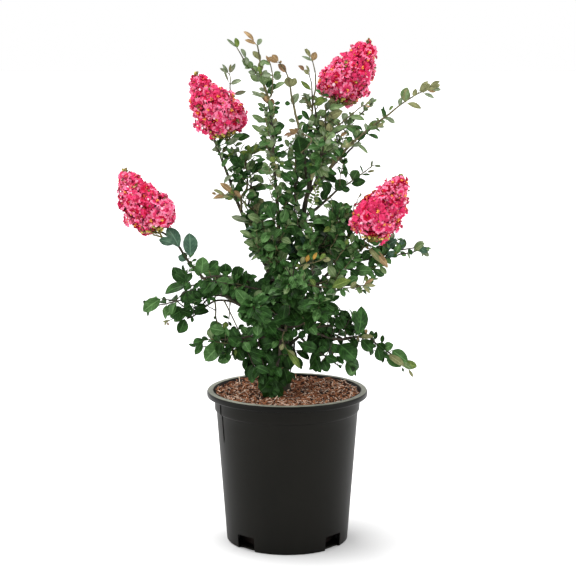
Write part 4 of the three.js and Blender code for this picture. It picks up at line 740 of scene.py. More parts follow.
        ((191, -46, 514), (201, -48, 506), 8, "mid"), ((127, -47, 499), (140, -48, 516), 15, "dark"), ((117, -45, 494), (130, -44, 482), 15, "mid"), ]),
    ("right_low", "twig_brown", [(79, -48, 496), (98, -52, 486), (114, -56, 483), (133, -60, 484)], (1.2, 0.6), [
        ((143, -60, 486), (164, -56, 474), 13, "dark"), ((111, -53, 481), (144, -64, 484), 19, "mid"), ((133, -58, 484), (151, -57, 490), 11, "dark"),
        ((98, -53, 486), (109, -59, 504), 17, "dark"), ((106, -56, 483), (119, -59, 472), 15, "dark"), ((89, -51, 489), (79, -48, 474), 15, "dark"),
        ((133, -61, 483), (146, -64, 473), 9, "mid"), ]),
    ("hanging", "twig_green", [(109, -54, 541), (122, -57, 534), (136, -60, 526)], (0.9, 0.5), [
        ((124, -57, 536), (137, -56, 518), 8, "bronze"), ((138, -58, 524), (170, -60, 488), 12, "bronze"),
        ((136, -61, 523), (156, -67, 498), 9, "olive"), ((139, -58, 526), (161, -60, 506), 9, "mid"), ((122, -60, 535), (109, -62, 520), 11, "mid"),
        ((131, -62, 530), (122, -61, 515), 9, "olive"), ]),
    ("orange", "twig_green", [(15, -70, 484), (28, -72, 494), (47, -74, 499), (65, -76, 506)], (0.8, 0.4), [
        ((32, -75, 499), (36, -78, 512), 7, "orange"), ((43, -76, 503), (50, -78, 516), 6, "orange"), ((23, -69, 495), (29, -70, 508), 8, "olive"),
        ((54, -75, 503), (64, -71, 513), 7, "fresh"), ((21, -74, 491), (10, -77, 500), 9, "fresh"), ((38, -72, 497), (26, -78, 486), 8, "olive"),
        ((58, -74, 504), (73, -77, 503), 9, "olive"), ]),
    ("yellow", "twig_green", [(1, -60, 463), (28, -66, 460), (54, -71, 457), (82, -77, 456), (109, -82, 457), (128, -88, 462)], (1.3, 0.45), [
        ((128, -91, 463), (148, -95, 462), 6, "olive"), ((127, -88, 461), (138, -91, 449), 6, "olive"),
        ((128, -88, 463), (144, -94, 474), 6, "bronze"), ((73, -78, 456), (107, -72, 469), 17, "fresh"), ((77, -77, 457), (67, -79, 434), 15, "mid"),
        ((105, -85, 457), (116, -88, 468), 8, "olive"), ((115, -80, 456), (126, -79, 448), 7, "olive"), ((42, -71, 458), (52, -77, 444), 11, "mid"),
        ((22, -66, 461), (12, -65, 447), 9, "olive"), ((89, -77, 456), (97, -78, 441), 9, "mid"), ((48, -69, 457), (38, -69, 470), 9, "fresh"), ]),
]
# SPRAYS END


def petiole(a, b, r=0.5, wood="twig_green"):
    """A short stalk from a twig to the foot of a leaf."""
    gap = b - a
    ln = np.linalg.norm(gap)
    if ln < 1.0:
        return
    mid = a + gap * 0.5 + unit(np.cross(gap, [0.3, 1.0, 0.2])) * ln * rng.uniform(-0.1, 0.1) - np.array([0, 0, 0.04 * ln])
    n = 3 if ln < 12 else 5
    tube(twig_soups[wood], spline([a, mid, b], n), np.linspace(r * 1.6, r * 0.9, n), 4)


def spray(name, wood, stem, radii, blades):
    global ALL_WOOD
    stem = np.array(stem, float)
    root = nearest_wood(stem[0], stem[min(2, len(stem) - 1)] - stem[0])
    if np.linalg.norm(root - stem[0]) > 3:
        stem = np.concatenate([[root], stem])
    path = resample(spline(stem, 6 * len(stem)), 4.0)[0]
    tube(twig_soups[wood], path, 1.6 * np.linspace(radii[0], radii[1], len(path)) + 0.15, 6)
    ALL_WOOD = np.concatenate([ALL_WOOD, path])
    for base, tip, width, tint in blades:
        base = np.array(base, float)
        petiole(path[int(np.argmin(np.linalg.norm(path - base, axis=1)))], base)
        leaf_to(tint, base, tip, width)
    return path


# short leafy twigs between the sprays: start and end of the leafy part, leaf
# length, palette
TUFTS = [
    ((27, -40, 701), (37, -40, 724), 20, "upper"),
    ((-75, 22, 591), (-90, 22, 610), 28, "centre"),
    ((-76, 28, 622), (-94, 28, 641), 28, "upper"),
    ((-75, 30, 649), (-95, 30, 667), 26, "centre"),
    ((-69, 26, 663), (-52, 26, 682), 26, "upper"),
    ((-69, 22, 633), (-43, 22, 650), 27, "upper"),
    ((-68, 20, 612), (-43, 20, 622), 25, "centre"),
    ((-82, 38, 666), (-102, 38, 680), 22, "upper"),
    ((-71, 14, 602), (-54, 14, 588), 28, "upper"),
    ((-43, -22, 503), (-53, -22, 523), 24, "mid"),
    ((-50, -24, 520), (-53, -24, 548), 26, "mid"),
    ((-29, -24, 493), (-33, -24, 515), 24, "mid"),
    ((-16, -34, 515), (-29, -34, 539), 27, "mid"),
    ((-12, -34, 532), (1, -34, 557), 26, "mid"),
    ((-17, -30, 555), (-33, -30, 579), 25, "mid"),
    ((-16, -30, 576), (0, -30, 596), 22, "mid"),
    ((-19, -30, 599), (-4, -30, 616), 18, "mid"),
    ((-21, -30, 620), (-34, -30, 640), 16, "upper"),
    ((-22, -32, 650), (-10, -32, 670), 14, "upper"),
    ((-24, -32, 670), (-36, -32, 691), 15, "upper"),
    ((79, -64, 461), (89, -64, 484), 26, "mid"),
    ((96, -64, 484), (112, -64, 506), 26, "mid"),
    ((82, -60, 497), (97, -60, 525), 26, "mid"),
    ((92, -60, 514), (112, -60, 531), 24, "mid"),
    ((72, -56, 517), (85, -56, 544), 26, "mid"),
    ((122, -66, 515), (135, -66, 534), 22, "mid"),
    ((133, -60, 487), (160, -60, 491), 22, "centre"),
    ((150, -50, 506), (177, -50, 513), 18, "centre"),
    ((73, -50, 431), (86, -50, 452), 24, "mid"),
    ((97, -30, 376), (118, -30, 390), 24, "shade"),
    ((98, -30, 362), (122, -30, 365), 22, "shade"),
    ((135, -34, 349), (156, -34, 338), 20, "shade"),
    ((156, -36, 339), (180, -36, 325), 20, "shade"),
    ((125, -34, 356), (142, -34, 366), 18, "low"),
    ((53, 10, 756), (63, 10, 783), 20, "upper"),
    ((0, -30, 684), (20, -30, 717), 18, "upper"),
    ((84, 20, 695), (101, 20, 715), 16, "upper"),
    ((91, 20, 636), (98, 20, 667), 15, "mid"),
    ((5, -10, 536), (7, -10, 570), 24, "mid"),
    ((17, -10, 550), (20, -10, 577), 24, "mid"),
    ((32, -15, 553), (37, -15, 577), 18, "mid"),
    ((42, -20, 588), (52, -20, 629), 12, "sprig"),
    ((110, -50, 496), (120, -50, 523), 26, "mid"),
    ((86, -50, 472), (101, -50, 489), 22, "mid"),
    ((66, -50, 459), (79, -50, 472), 24, "mid"),
    ((49, -40, 440), (66, -40, 450), 20, "mid"),
    ((-60, -40, 322), (-47, -40, 297), 34, "shade"),
    ((-71, -34, 345), (-57, -34, 314), 32, "shade"),
    ((22, -20, 335), (32, -20, 346), 24, "low"),
    ((53, -24, 338), (47, -24, 313), 24, "shade"),
    ((43, -15, 356), (57, -15, 366), 24, "low"),
    ((80, -30, 397), (90, -30, 414), 24, "low"),
    ((101, -30, 383), (111, -30, 400), 24, "low"),
    ((157, -46, 526), (187, -46, 533), 18, "centre"),
    ((-93, -20, 433), (-83, -20, 447), 24, "low"),
    ((-173, -30, 459), (-166, -30, 483), 28, "low"),
    ((-176, -10, 439), (-150, -10, 446), 28, "low"),
    ((-26, -28, 603), (-29, -28, 636), 15, "upper"),
    ((-29, -30, 640), (-27, -30, 670), 15, "upper"),
    ((-32, -32, 684), (-36, -32, 714), 17, "upper"),
    ((-32, -38, 721), (-39, -38, 754), 17, "upper"),
    ((60, 10, 699), (53, 10, 729), 20, "upper"),
    ((80, 20, 732), (87, 20, 759), 18, "upper"),
    ((-40, -44, 316), (-29, -44, 295), 30, "shade"),
    ((-6, -20, 335), (-9, -20, 311), 26, "shade"),
    ((-2, -16, 359), (-4, -16, 338), 26, "shade"),
    ((39, 0, 750), (32, 0, 770), 16, "upper"),
    ((80, 20, 671), (87, 20, 695), 16, "upper"),
    ((91, 20, 684), (97, 20, 705), 16, "upper"),
    ((-113, 40, 663), (-123, 40, 683), 17, "upper"),
    ((-115, 40, 680), (-127, 40, 694), 16, "upper"),
    ((5, 10, 647), (8, 10, 670), 18, "centre"),
    ((32, 10, 658), (29, 10, 685), 18, "centre"),
    ((49, -15, 547), (56, -15, 567), 18, "mid"),
    ((77, -30, 369), (87, -30, 390), 24, "low"),
    ((91, -30, 376), (101, -30, 393), 24, "low"),
    ((-137, -10, 414), (-147, -10, 428), 24, "low"),
    ((-161, -10, 397), (-164, -10, 418), 24, "low"),
    ((123, -60, 450), (143, -60, 467), 20, "centre"),
]

TUFTS_WOOD = {"shade": "twig_brown", "low": "twig_brown"}


def tuft(start, end, leaf, tints):
    start, end = np.array(start, float), np.array(end, float)
    root = nearest_wood(start, end - start)
    a, b = np.linalg.norm(start - root), np.linalg.norm(end - start)
    points = [root, start, (start + end) / 2 + rng.normal(0, 0.03 * b, 3), end] if a > 2 else [start, (start + end) / 2, end]
    shoot(points, 0.9, 0.45, leaf, tints, spacing=0.36, start=a / (a + b) if a > 2 else 0.06, tip_leaf=0.6,
          ratio=0.5 if leaf > 23 and start[2] > 560 else 0.56, wood=TUFTS_WOOD.get(tints, "twig_green"))


for _row in SPRAYS:
    spray(*_row)
for _row in TUFTS:
    tuft(*_row)
leaf_to("fresh", (45.5, 0, 757), (64, 0, 770), 14)
# single leaves on the stems and at the crown's edge: tint, base, tip, width
SINGLE = []
for _tint, _base, _tip, _width in [
    ("blue_and_sheen", (51, -12, 676), (35, -24, 648), 17),
    ("moss", (39, -20, 651), (28, -26, 630), 9),
    ("olive", (46, -14, 652), (42, -18, 631), 7),
    ("dark", (59, 0, 651), (83, -4, 640), 10),
    ("dark", (25, -20, 661), (13, -26, 631), 9),
    ("dark", (92, 5, 660), (104, 2, 667), 6),
    ("mid", (53, 0, 638), (59, -6, 618), 7),
    ("dark", (27, -12, 625), (44, -16, 636), 7),
    ("mid", (15, -20, 588), (0, -26, 602), 8),
    ("dark", (-113, 38, 675), (-101, 32, 663), 9),
    ("mid", (-102, 36, 666), (-113, 30, 651), 8),
    ("mid", (-94, 36, 671), (-104, 30, 684), 8),
    ("olive", (-105, -4, 604), (-126, -10, 615), 8),
    ("bronze", (-105, -4, 607), (-125, -10, 601), 8),
    ("dark", (80, -40, 419), (83, -46, 403), 13),
    ("dark", (73, -40, 409), (88, -46, 412), 12),
    ("mid", (117, -60, 545), (117, -66, 530), 7),
    ("mid", (143, -60, 525), (156, -66, 534), 9),
    ("mid", (190, -50, 523), (200, -54, 529), 8),
    ("mid", (167, -50, 506), (175, -54, 493), 9),
    ("dark", (15, -30, 538), (5, -36, 525), 11),
    ("mid", (29, -20, 563), (37, -26, 544), 10),
    ("mid", (44, -10, 582), (42, -16, 566), 9),
    ("mid", (22, -40, 466), (25, -46, 444), 12),
    ("dark", (35, -44, 459), (44, -50, 441), 12),
    ("mid", (59, -50, 474), (69, -56, 456), 11),
    ("dark", (50, -20, 323), (58, -30, 301), 13),
    ("moss", (-76, -6, 559), (-88, -10, 568), 6),
    ("dark", (-33, -16, 591), (-24, -26, 568), 17),
    ("mid", (-2, -24, 585), (-9, -34, 562), 17),
    ("dark", (8, -30, 562), (18, -40, 537), 17),
    ("mid", (-29, -36, 546), (-43, -44, 528), 15),
    ("dark", (-43, -30, 562), (-51, -36, 544), 13),
    ("mid", (52, -36, 549), (72, -42, 556), 14),
    ("moss", (66, -40, 556), (82, -48, 547), 14),
    ("dark", (39, -44, 519), (52, -52, 503), 16),
    ("mid", (82, -50, 534), (96, -58, 518), 15),
    ("dark", (-19, -40, 495), (-29, -48, 474), 16),
    ("mid", (0, -44, 495), (10, -52, 476), 15),
    ("olive", (230, -58, 784), (249, -62, 793), 9),
    ("olive", (218, -57, 781), (233, -60, 799), 9),
    ("sage", (240, -59, 784), (254, -61, 785), 7),
    ("moss", (194, -52, 765), (199, -56, 789), 16),
    ("olive", (236, -60, 791), (252, -64, 799), 7),
    ("dark", (84, -36, 332), (96, -42, 319), 11),
    ("olive", (151, -38, 721), (162, -42, 729), 7),
    ("dark", (5, -30, 550), (-7, -40, 532), 18),
    ("dark", (-11, -30, 526), (6, -40, 512), 17),
    ("mid", (15, -26, 544), (30, -36, 530), 15),
    ("moss", (-58, -40, 536), (-81, -48, 549), 11),
    ("moss", (-55, -38, 522), (-73, -46, 531), 11),
    ("dark", (102, -20, 554), (109, -26, 536), 11),
    ("dark", (39, -40, 471), (56, -48, 462), 13),
    ("dark", (-161, -52, 479), (-169, -58, 463), 14),
    ("dark", (-164, -52, 462), (-174, -58, 449), 13),
    ("dark", (-105, -30, 706), (-115, -36, 691), 11),
    ("dark", (-69, -40, 651), (-74, -46, 633), 11),
    ("dark", (15, -44, 382), (10, -50, 366), 12),
    ("blue_and_sheen", (217, -54, 520), (237, -58, 514), 12),
    ("blue_and_sheen", (192, -54, 517), (193, -58, 536), 11),
    ("blue_and_sheen", (163, -52, 520), (185, -58, 535), 17),
    ("blue_and_sheen", (167, -52, 503), (181, -58, 516), 11),
    ("olive", (168, -60, 340), (198, -68, 321), 13),
    ("moss", (192, -62, 326), (212, -68, 315), 10),
    ("dark", (153, -56, 353), (159, -62, 328), 16),
    ("mid", (110, -52, 461), (127, -56, 451), 8),
    ("dark", (-12, -34, 647), (8, -42, 632), 14),
    ("dark", (-134, -60, 438), (-120, -64, 433), 7),
    ("mid", (-104, -58, 389), (-99, -62, 370), 8),
    ("mid", (-93, -36, 706), (-72, -42, 711), 7),
    ("moss", (-88, -36, 691), (-74, -42, 696), 7),
    ("dark", (10, -36, 682), (25, -42, 671), 10),
    ("mid", (-56, -36, 666), (-36, -42, 669), 7),
    ("dark", (-38, -40, 336), (-26, -46, 320), 11),
    ("dark", (17, -40, 324), (25, -44, 310), 7),
    ("mid", (-67, -72, 464), (-77, -80, 444), 17),
    ("dark", (-51, -70, 467), (-57, -78, 447), 17),
    ("mid", (-32, -66, 466), (-39, -76, 445), 17),
    ("dark", (-83, -72, 455), (-94, -78, 441), 13),
    ("moss", (-42, -74, 452), (-54, -82, 436), 14),
    ("mid", (18, -44, 480), (34, -54, 463), 18),
    ("dark", (32, -40, 485), (42, -48, 469), 14),
    ("deep_and_shade", (15, -76, 439), (27, -84, 416), 18),
    ("deep_and_shade", (32, -76, 449), (47, -84, 431), 17),
    ("dark", (42, -76, 428), (58, -82, 411), 16),
    ("deep_and_shade", (5, -76, 418), (16, -84, 401), 14),
]:
    leaf_to(_tint, _base, _tip, _width)
    SINGLE.append((_tint, len(leaves.rec[_tint]) - 1))
for _name in MASSES:
    fill_mass(_name)

# the single leaves sit on the nearest twig, by depth first, with a leaf stalk
# where the twig passes to one side
TWIG_POINTS = np.concatenate([np.concatenate(_soup.v) for _soup in twig_soups.values()])
_rel = TWIG_POINTS - CAM_POS
for _tint, _i in SINGLE:
    _leaf = list(leaves.rec[_tint][_i])
    _sight = np.array(_leaf[0:3]) - CAM_POS
    _far = np.linalg.norm(_sight)
    _sight /= _far
    _along = _rel @ _sight
    _aside = np.linalg.norm(_rel - _along[:, None] * _sight, axis=1)
    _k = int(np.argmin(_aside + 0.2 * np.abs(_along - _far)))
    _near = _along[_k] - 1.5
    _base = CAM_POS + _near * _sight
    _leaf[0:3] = list(_base)
    _leaf[9] *= _near / _far
    _leaf[10] *= _near / _far
    leaves.rec[_tint][_i] = tuple(_leaf)
    if _aside[_k] > 1.0:
        _mid = 0.5 * (_base + TWIG_POINTS[_k]) - np.array([0.0, 0.0, 0.1 * _aside[_k]])
        tube(twig_soups["twig_green"], np.array([TWIG_POINTS[_k], _mid, _base]), np.array([0.8, 0.65, 0.6]), 4)

# ---- materials ---------------------------------------------------------------


def srgb(h):
    c = [int(h[i:i + 2], 16) / 255 for i in (1, 3, 5)]
    return [x / 12.92 if x <= 0.04045 else ((x + 0.055) / 1.055) ** 2.4 for x in c]


class Mat:
    """A small helper round a node tree with one Principled shader."""

    def __init__(self, name, rough=0.5, spec=0.5):
        self.m = bpy.data.materials.new(name)
        self.m.use_nodes = True
        self.nt = self.m.node_tree
        self.bsdf = self.nt.nodes["Principled BSDF"]
        self.bsdf.inputs["Roughness"].default_value = rough
        self.bsdf.inputs["Specular IOR Level"].default_value = spec
        self.tc = self.nt.nodes.new("ShaderNodeTexCoord")

    def node(self, kind, **kw):
        n = self.nt.nodes.new(kind)
        for k, v in kw.items():
            if k in n.inputs:
                n.inputs[k].default_value = v
            else:
                setattr(n, k, v)
        return n

    def link(self, a, b):
        self.nt.links.new(a, b)

    def noise(self, scale, detail=3.0, rough=0.55, coord="Object", stretch=None):
        n = self.node("ShaderNodeTexNoise")
        n.inputs["Scale"].default_value = scale
        n.inputs["Detail"].default_value = detail
        n.inputs["Roughness"].default_value = rough
        src = self.tc.outputs[coord]
        if stretch:
            mp = self.node("ShaderNodeMapping")
            mp.inputs["Scale"].default_value = stretch
            self.link(src, mp.inputs["Vector"])
            src = mp.outputs["Vector"]
        self.link(src, n.inputs["Vector"])
        return n

    def ramp(self, source, stops):
        r = self.node("ShaderNodeValToRGB")
        el = r.color_ramp.elements
        while len(el) > 1:
            el.remove(el[-1])
        el[0].position, el[0].color = stops[0][0], (*stops[0][1], 1)
        for pos, col in stops[1:]:
            e = el.new(pos)
            e.color = (*col, 1)
        self.link(source, r.inputs["Fac"])
        return r

    def calc(self, op, a, b=None):
        """One maths node; a and b are sockets or numbers."""
        n = self.node("ShaderNodeMath", operation=op)
        for i, v in enumerate((a, b)):
            if v is None:
                continue
            if isinstance(v, (int, float)):
                n.inputs[i].default_value = v
            else:
                self.link(v, n.inputs[i])
        return n.outputs["Value"]

    def colour(self, socket):
        self.link(socket, self.bsdf.inputs["Base Color"])

    def roughness(self, source, lo, hi):
        mr = self.node("ShaderNodeMapRange")
        mr.inputs["To Min"].default_value = lo
        mr.inputs["To Max"].default_value = hi
        self.link(source, mr.inputs["Value"])
        self.link(mr.outputs["Result"], self.bsdf.inputs["Roughness"])

    def bump(self, source, strength, distance):
        b = self.node("ShaderNodeBump")
        b.inputs["Strength"].default_value = strength
        b.inputs["Distance"].default_value = distance
        self.link(source, b.inputs["Height"])
        self.link(b.outputs["Normal"], self.bsdf.inputs["Normal"])
        return b


def leaf_material(name, base, light, rough, spec=0.2):
    m = Mat(name, rough, spec)
    n = m.noise(95, 2)
    r = m.ramp(n.outputs["Fac"], [(0.30, [c * 0.8 for c in base]), (0.50, base), (0.76, light)])
    # midrib and side veins, by the place on the blade
    xyz = m.node("ShaderNodeSeparateXYZ")
    m.link(m.tc.outputs["UV"], xyz.inputs["Vector"])
    half = m.calc("ABSOLUTE", m.calc("SUBTRACT", xyz.outputs["Y"], 0.5))
    rib = m.ramp(half, [(0.0, (1, 1, 1)), (0.028, (0.5, 0.5, 0.5)), (0.06, (0, 0, 0))])
    side = m.calc("SINE", m.calc("MULTIPLY", m.calc("SUBTRACT", xyz.outputs["X"], m.calc("MULTIPLY", half, 0.55)), 44.0))
    vein = m.ramp(side, [(0.86, (0, 0, 0)), (1.0, (0.35, 0.35, 0.35))])
    mix = m.node("ShaderNodeMix", data_type="RGBA", blend_type="MIX")
    m.link(m.calc("MULTIPLY", m.calc("MAXIMUM", rib.outputs["Color"], vein.outputs["Color"]), 0.55), mix.inputs["Factor"])
    m.link(r.outputs["Color"], mix.inputs["A"])
    mix.inputs["B"].default_value = (*[min(1, c * 1.8 + 0.02) for c in light], 1)
    m.colour(mix.outputs["Result"])
    fine = m.noise(420, 2)
    m.roughness(fine.outputs["Fac"], rough - 0.06, rough + 0.12)
    bumped = m.calc("ADD", m.calc("MULTIPLY", fine.outputs["Fac"], 0.35), m.calc("MAXIMUM", rib.outputs["Color"], vein.outputs["Color"]))
    m.bump(bumped, 0.25, 0.0005)
    return m.m


LEAF_MATS = {
    # the deepest green, dealt to leaves in the core and at the foot, also stands for painted shade
    "deep_and_shade": leaf_material("leaf_deep_and_shade", srgb("#142a0b"), srgb("#264817"), 0.42, 0.06),
    "dark": leaf_material("leaf_dark", srgb("#1f3c16"), srgb("#38602a"), 0.40, 0.11),
    "mid": leaf_material("leaf_mid", srgb("#385b2a"), srgb("#5b8049"), 0.42, 0.16),
    "moss": leaf_material("leaf_moss", srgb("#53693d"), srgb("#7e9064"), 0.42),
    # bluish green that also stands for a painted sky sheen on glossy leaves
    "blue_and_sheen": leaf_material("leaf_blue_and_sheen", srgb("#34513f"), srgb("#55745c"), 0.40),
    "sage": leaf_material("leaf_sage", srgb("#606e51"), srgb("#8b977a"), 0.43),
    "fresh": leaf_material("leaf_fresh", srgb("#506526"), srgb("#788941"), 0.43),
    "olive": leaf_material("leaf_olive", srgb("#6a6c46"), srgb("#8f9064"), 0.45),
    "bronze": leaf_material("leaf_bronze", srgb("#7d6544"), srgb("#a88b62"), 0.45),
    "brown": leaf_material("leaf_brown", srgb("#684d35"), srgb("#8e704f"), 0.45),
    "orange": leaf_material("leaf_orange", srgb("#94702a"), srgb("#b98f3c"), 0.45),
}


def twig_material(name, a, b):
    m = Mat(name, 0.6, 0.4)
    n = m.noise(260, 3, stretch=(1, 1, 0.4))
    m.colour(m.ramp(n.outputs["Fac"], [(0.35, a), (0.65, b)]).outputs["Color"])
    m.bump(n.outputs["Fac"], 0.3, 0.0008)
    return m.m


def bark_material():
    m = Mat("bark_limbs", 0.72, 0.3)
    long = m.noise(55, 5, 0.6, stretch=(3.0, 3.0, 0.55))
    patch = m.noise(28, 3)
    mix = m.node("ShaderNodeMix", data_type="RGBA")
    r1 = m.ramp(long.outputs["Fac"], [(0.3, srgb("#15120a")), (0.5, srgb("#302a1a")), (0.72, srgb("#4f4836"))])
    r2 = m.ramp(patch.outputs["Fac"], [(0.4, srgb("#1c1f12")), (0.65, srgb("#4b4a38"))])
    mix.inputs["Factor"].default_value = 0.35
    m.link(r1.outputs["Color"], mix.inputs["A"])
    m.link(r2.outputs["Color"], mix.inputs["B"])
    m.colour(mix.outputs["Result"])
    m.bump(long.outputs["Fac"], 0.6, 0.0012)
    return m.m


# ---- build the leaves and twigs ------------------------------------------------
pieces = []
for tint, mat in LEAF_MATS.items():
    if tint not in leaves.rec:
        continue
    s = leaves.soup(tint)
    ob = s.build("leaves_" + tint, mat, "foliage")
    uvl = ob.data.uv_layers.new(name="blade")
    idx = np.zeros(len(ob.data.loops), np.int32)
    ob.data.loops.foreach_get("vertex_index", idx)
    uvl.data.foreach_set("uv", s.uv[idx].astype(np.float32).ravel())
    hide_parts(*FOLIAGE)
    pieces.append((ob.name, s.faces(), len(leaves.rec[tint])))
tw = {"twig_brown": twig_material("twig_brown", srgb("#1b160e"), srgb("#3c3122")),
      "twig_green": twig_material("twig_green", srgb("#33321c"), srgb("#68603a"))}
for name, s in twig_soups.items():
    ob = s.build(name, tw[name], "bark")
    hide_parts(*FOLIAGE)
    pieces.append((name, s.faces(), 0))

# ---- trunk, stems and boughs -----------------------------------------------------


def limb_mesh(soup, curve, r0, r1, sides, step, seed, swell=1.35, foot=None):
    n = max(8, int(np.linalg.norm(curve(1.0) - curve(0.0)) / step))
    ts = np.linspace(0, 1, n)
    p = np.array([curve(t) for t in ts])
    length = np.linalg.norm(np.diff(p, axis=0), axis=1).sum()
    r = r0 + (r1 - r0) * ts
    d = ts * length
    r = r * (1 + (swell - 1) * np.exp(-d / 9.0))
    for k in range(1, int(length / 19)):                       # leaf scars
        r = r * (1 + 0.10 * np.exp(-((d - 19 * k - 3 * math.sin(k * 2.3 + seed)) / 1.8) ** 2))
    if foot is not None:
        r = r + (foot - r0) * np.exp(-d / 11.0)
    ang = np.arange(sides) / sides * 2 * math.pi
    wob = np.ones((n, sides))
    for i in range(n):
        for j in range(sides):
            q = Vector((math.cos(ang[j]) * 1.6 + seed * 7.1, math.sin(ang[j]) * 1.6, d[i] * 0.035))
            fine = Vector((math.cos(ang[j]) * 4.5 + seed, math.sin(ang[j]) * 4.5, d[i] * 0.11 + 5))
            wob[i, j] = 1 + 0.10 * noise.noise(q) + 0.07 * noise.noise(fine)
            if foot is not None:
                wob[i, j] += 0.14 * math.exp(-d[i] / 16) * math.sin(3 * ang[j] + 0.6)
    p[1:-1] += np.array([noise.noise_vector(Vector((0.03 * x + seed, seed, 0))) for x in d])[1:-1] * 1.0
    tube(soup, p, r, sides, wob)


bark = Soup()
limb_mesh(bark, bowed((-5, 5, 259.5), TRUNK["b"], (0.5, 0, 0)), TRUNK["r0"], TRUNK["r1"], 26, 1.8, 0.3, 1.0, TRUNK["foot"])
for k, (name, (a, b, bow, r)) in enumerate(LIMBS.items()):
    thick = name.startswith("stem")
    limb_mesh(bark, limb_curves[name], r[0], r[1], 14 if thick else 9, 3.0 if thick else 4.0, 1.0 + k * 0.7)
ob = bark.build("bark_limbs", bark_material(), "bark")
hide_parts("trunk", *LIMBS)
pieces.append(("bark_limbs", bark.faces(), 0))

# ---- blossom heads -----------------------------------------------------------------
petals = {"petal_deep_and_shade": Soup(), "petal_pink": Soup(), "petal_light_and_highlight": Soup()}
stamens, calyces, buds_olive, buds_yellow = Soup(), Soup(), Soup(), Soup()


def petal_grid(nu, nv):
    i, j = np.meshgrid(np.arange(nu - 1), np.arange(nv - 1), indexing="ij")
    return np.stack([i * nv + j, (i + 1) * nv + j, (i + 1) * nv + j + 1, i * nv + j + 1], -1).reshape(-1, 4)


PETAL_Q = petal_grid(3, 7)


def floret(centre, out, size, inner, outer, tuft):
    """Six crinkled petals on thin claws round a tuft of stamens."""
    w = unit(out)
    ref = np.array([0, 0, 1.0]) if abs(w[2]) < 0.9 else np.array([1.0, 0, 0])
    e1 = unit(np.cross(w, ref))
    e2 = np.cross(w, e1)
    spin = rng.uniform(0, 6.28)
    for k in range(6):
        a = spin + k * math.pi / 3 + rng.normal(0, 0.12)
        rad = math.cos(a) * e1 + math.sin(a) * e2
        tan = -math.sin(a) * e1 + math.cos(a) * e2
        lift = rng.uniform(-0.25, 0.75)
        sl, cl = math.sin(lift), math.cos(lift)
        length = size * rng.uniform(0.82, 1.14)
        d = rad * cl + w * sl
        nn = w * cl - rad * sl
        s = np.linspace(0, 1, 5)
        half = length * 0.44 * np.array([0.20, 0.66, 1.0, 1.04, 0.66])
        claw = size * 0.30
        u = np.linspace(-1, 1, 7)
        ph = rng.uniform(0, 6.28)
        S, U = np.meshgrid(s, u, indexing="ij")
        H = half[:, None] * U
        ruff = length * (0.13 * np.sin(U * 5.2 + ph + S * 2.0) + 0.06 * np.sin(S * 8 + U * 3 + ph)) * (0.15 + S * 1.1)
        curl = -length * 0.26 * S ** 2 + length * 0.10 * U ** 2
        tipn = length * (0.08 * np.sin(U * 8 + ph)) * (S > 0.9)
        v = (centre + (claw + (length * 0.80) * S + tipn)[..., None] * d + H[..., None] * tan
             + (ruff + curl)[..., None] * nn)
        # inner rows and the claw take the inner colour, outer rows the outer one: dealt deep inside and light outside,
        # this paints shade at the heart and a highlight at the rim
        petals[inner].add(v[:3].reshape(-1, 3), PETAL_Q)
        petals[outer].add(v[2:].reshape(-1, 3), PETAL_Q)
        # the claw
        c0, c1 = centre, centre + d * claw * 1.1
        hw = tan * size * 0.045
        petals[inner].add([c0 - hw, c0 + hw, c1 + hw * 1.6, c1 - hw * 1.6], [[0, 1, 2, 3]])
    for k in range(13 if tuft else 3):
        a = rng.uniform(0, 6.28)
        tilt = rng.uniform(0.0, 0.42)
        d = unit(w * math.cos(tilt) + (math.cos(a) * e1 + math.sin(a) * e2) * math.sin(tilt))
        ln = size * rng.uniform(0.40, 0.66)
        tip = centre + d * ln
        side = unit(np.cross(d, e1 + 0.1)) * 0.16
        side2 = np.cross(d, side)
        stamens.add([centre + side, centre - side, centre + side2, tip], None, [[0, 1, 3], [1, 2, 3], [2, 0, 3]])
        octa(stamens, tip, rng.uniform(0.8, 1.2) if tuft else rng.uniform(0.5, 0.7))
    octa(calyces, centre - w * size * 0.16, size * 0.16, stretch=(w, 1.3))


OCT = np.array([[1, 0, 0], [-1, 0, 0], [0, 1, 0], [0, -1, 0], [0, 0, 1], [0, 0, -1]], float)
OCT_T = [[0, 2, 4], [2, 1, 4], [1, 3, 4], [3, 0, 4], [2, 0, 5], [1, 2, 5], [3, 1, 5], [0, 3, 5]]


def octa(soup, c, r, stretch=None):
    v = OCT * r
    if stretch is not None:
        ax, k = stretch
        v = v + np.outer(v @ ax, ax) * (k - 1)
    soup.add(v + c, None, OCT_T)


def ball(soup, c, r, axis=(0, 0, 1), long=1.0, rings=5, sides=7):
    ax = unit(axis)
    ref = np.array([0, 0, 1.0]) if abs(ax[2]) < 0.9 else np.array([1.0, 0, 0])
    e1 = unit(np.cross(ax, ref))
    e2 = np.cross(ax, e1)
    th = np.linspace(0.0, math.pi, rings)[1:-1]
    ang = np.arange(sides) / sides * 2 * math.pi
    v = [c - ax * r * long]
    for t in th:
        ring_r = r * math.sin(t)
        for a in ang:
            v.append(c - ax * r * long * math.cos(t) + ring_r * (math.cos(a) * e1 + math.sin(a) * e2))
    v.append(c + ax * r * long)
    k = np.arange(sides)
    quads = []
    for i in range(len(th) - 1):
        o = 1 + i * sides
        quads.append(np.stack([o + k, o + (k + 1) % sides, o + sides + (k + 1) % sides, o + sides + k], 1))
    last = 1 + (len(th) - 1) * sides
    tris = np.concatenate([np.stack([np.zeros(sides, int), 1 + (k + 1) % sides, 1 + k], 1),
                           np.stack([np.full(sides, len(v) - 1), last + k, last + (k + 1) % sides], 1)])
    soup.add(np.array(v), np.concatenate(quads), tris)


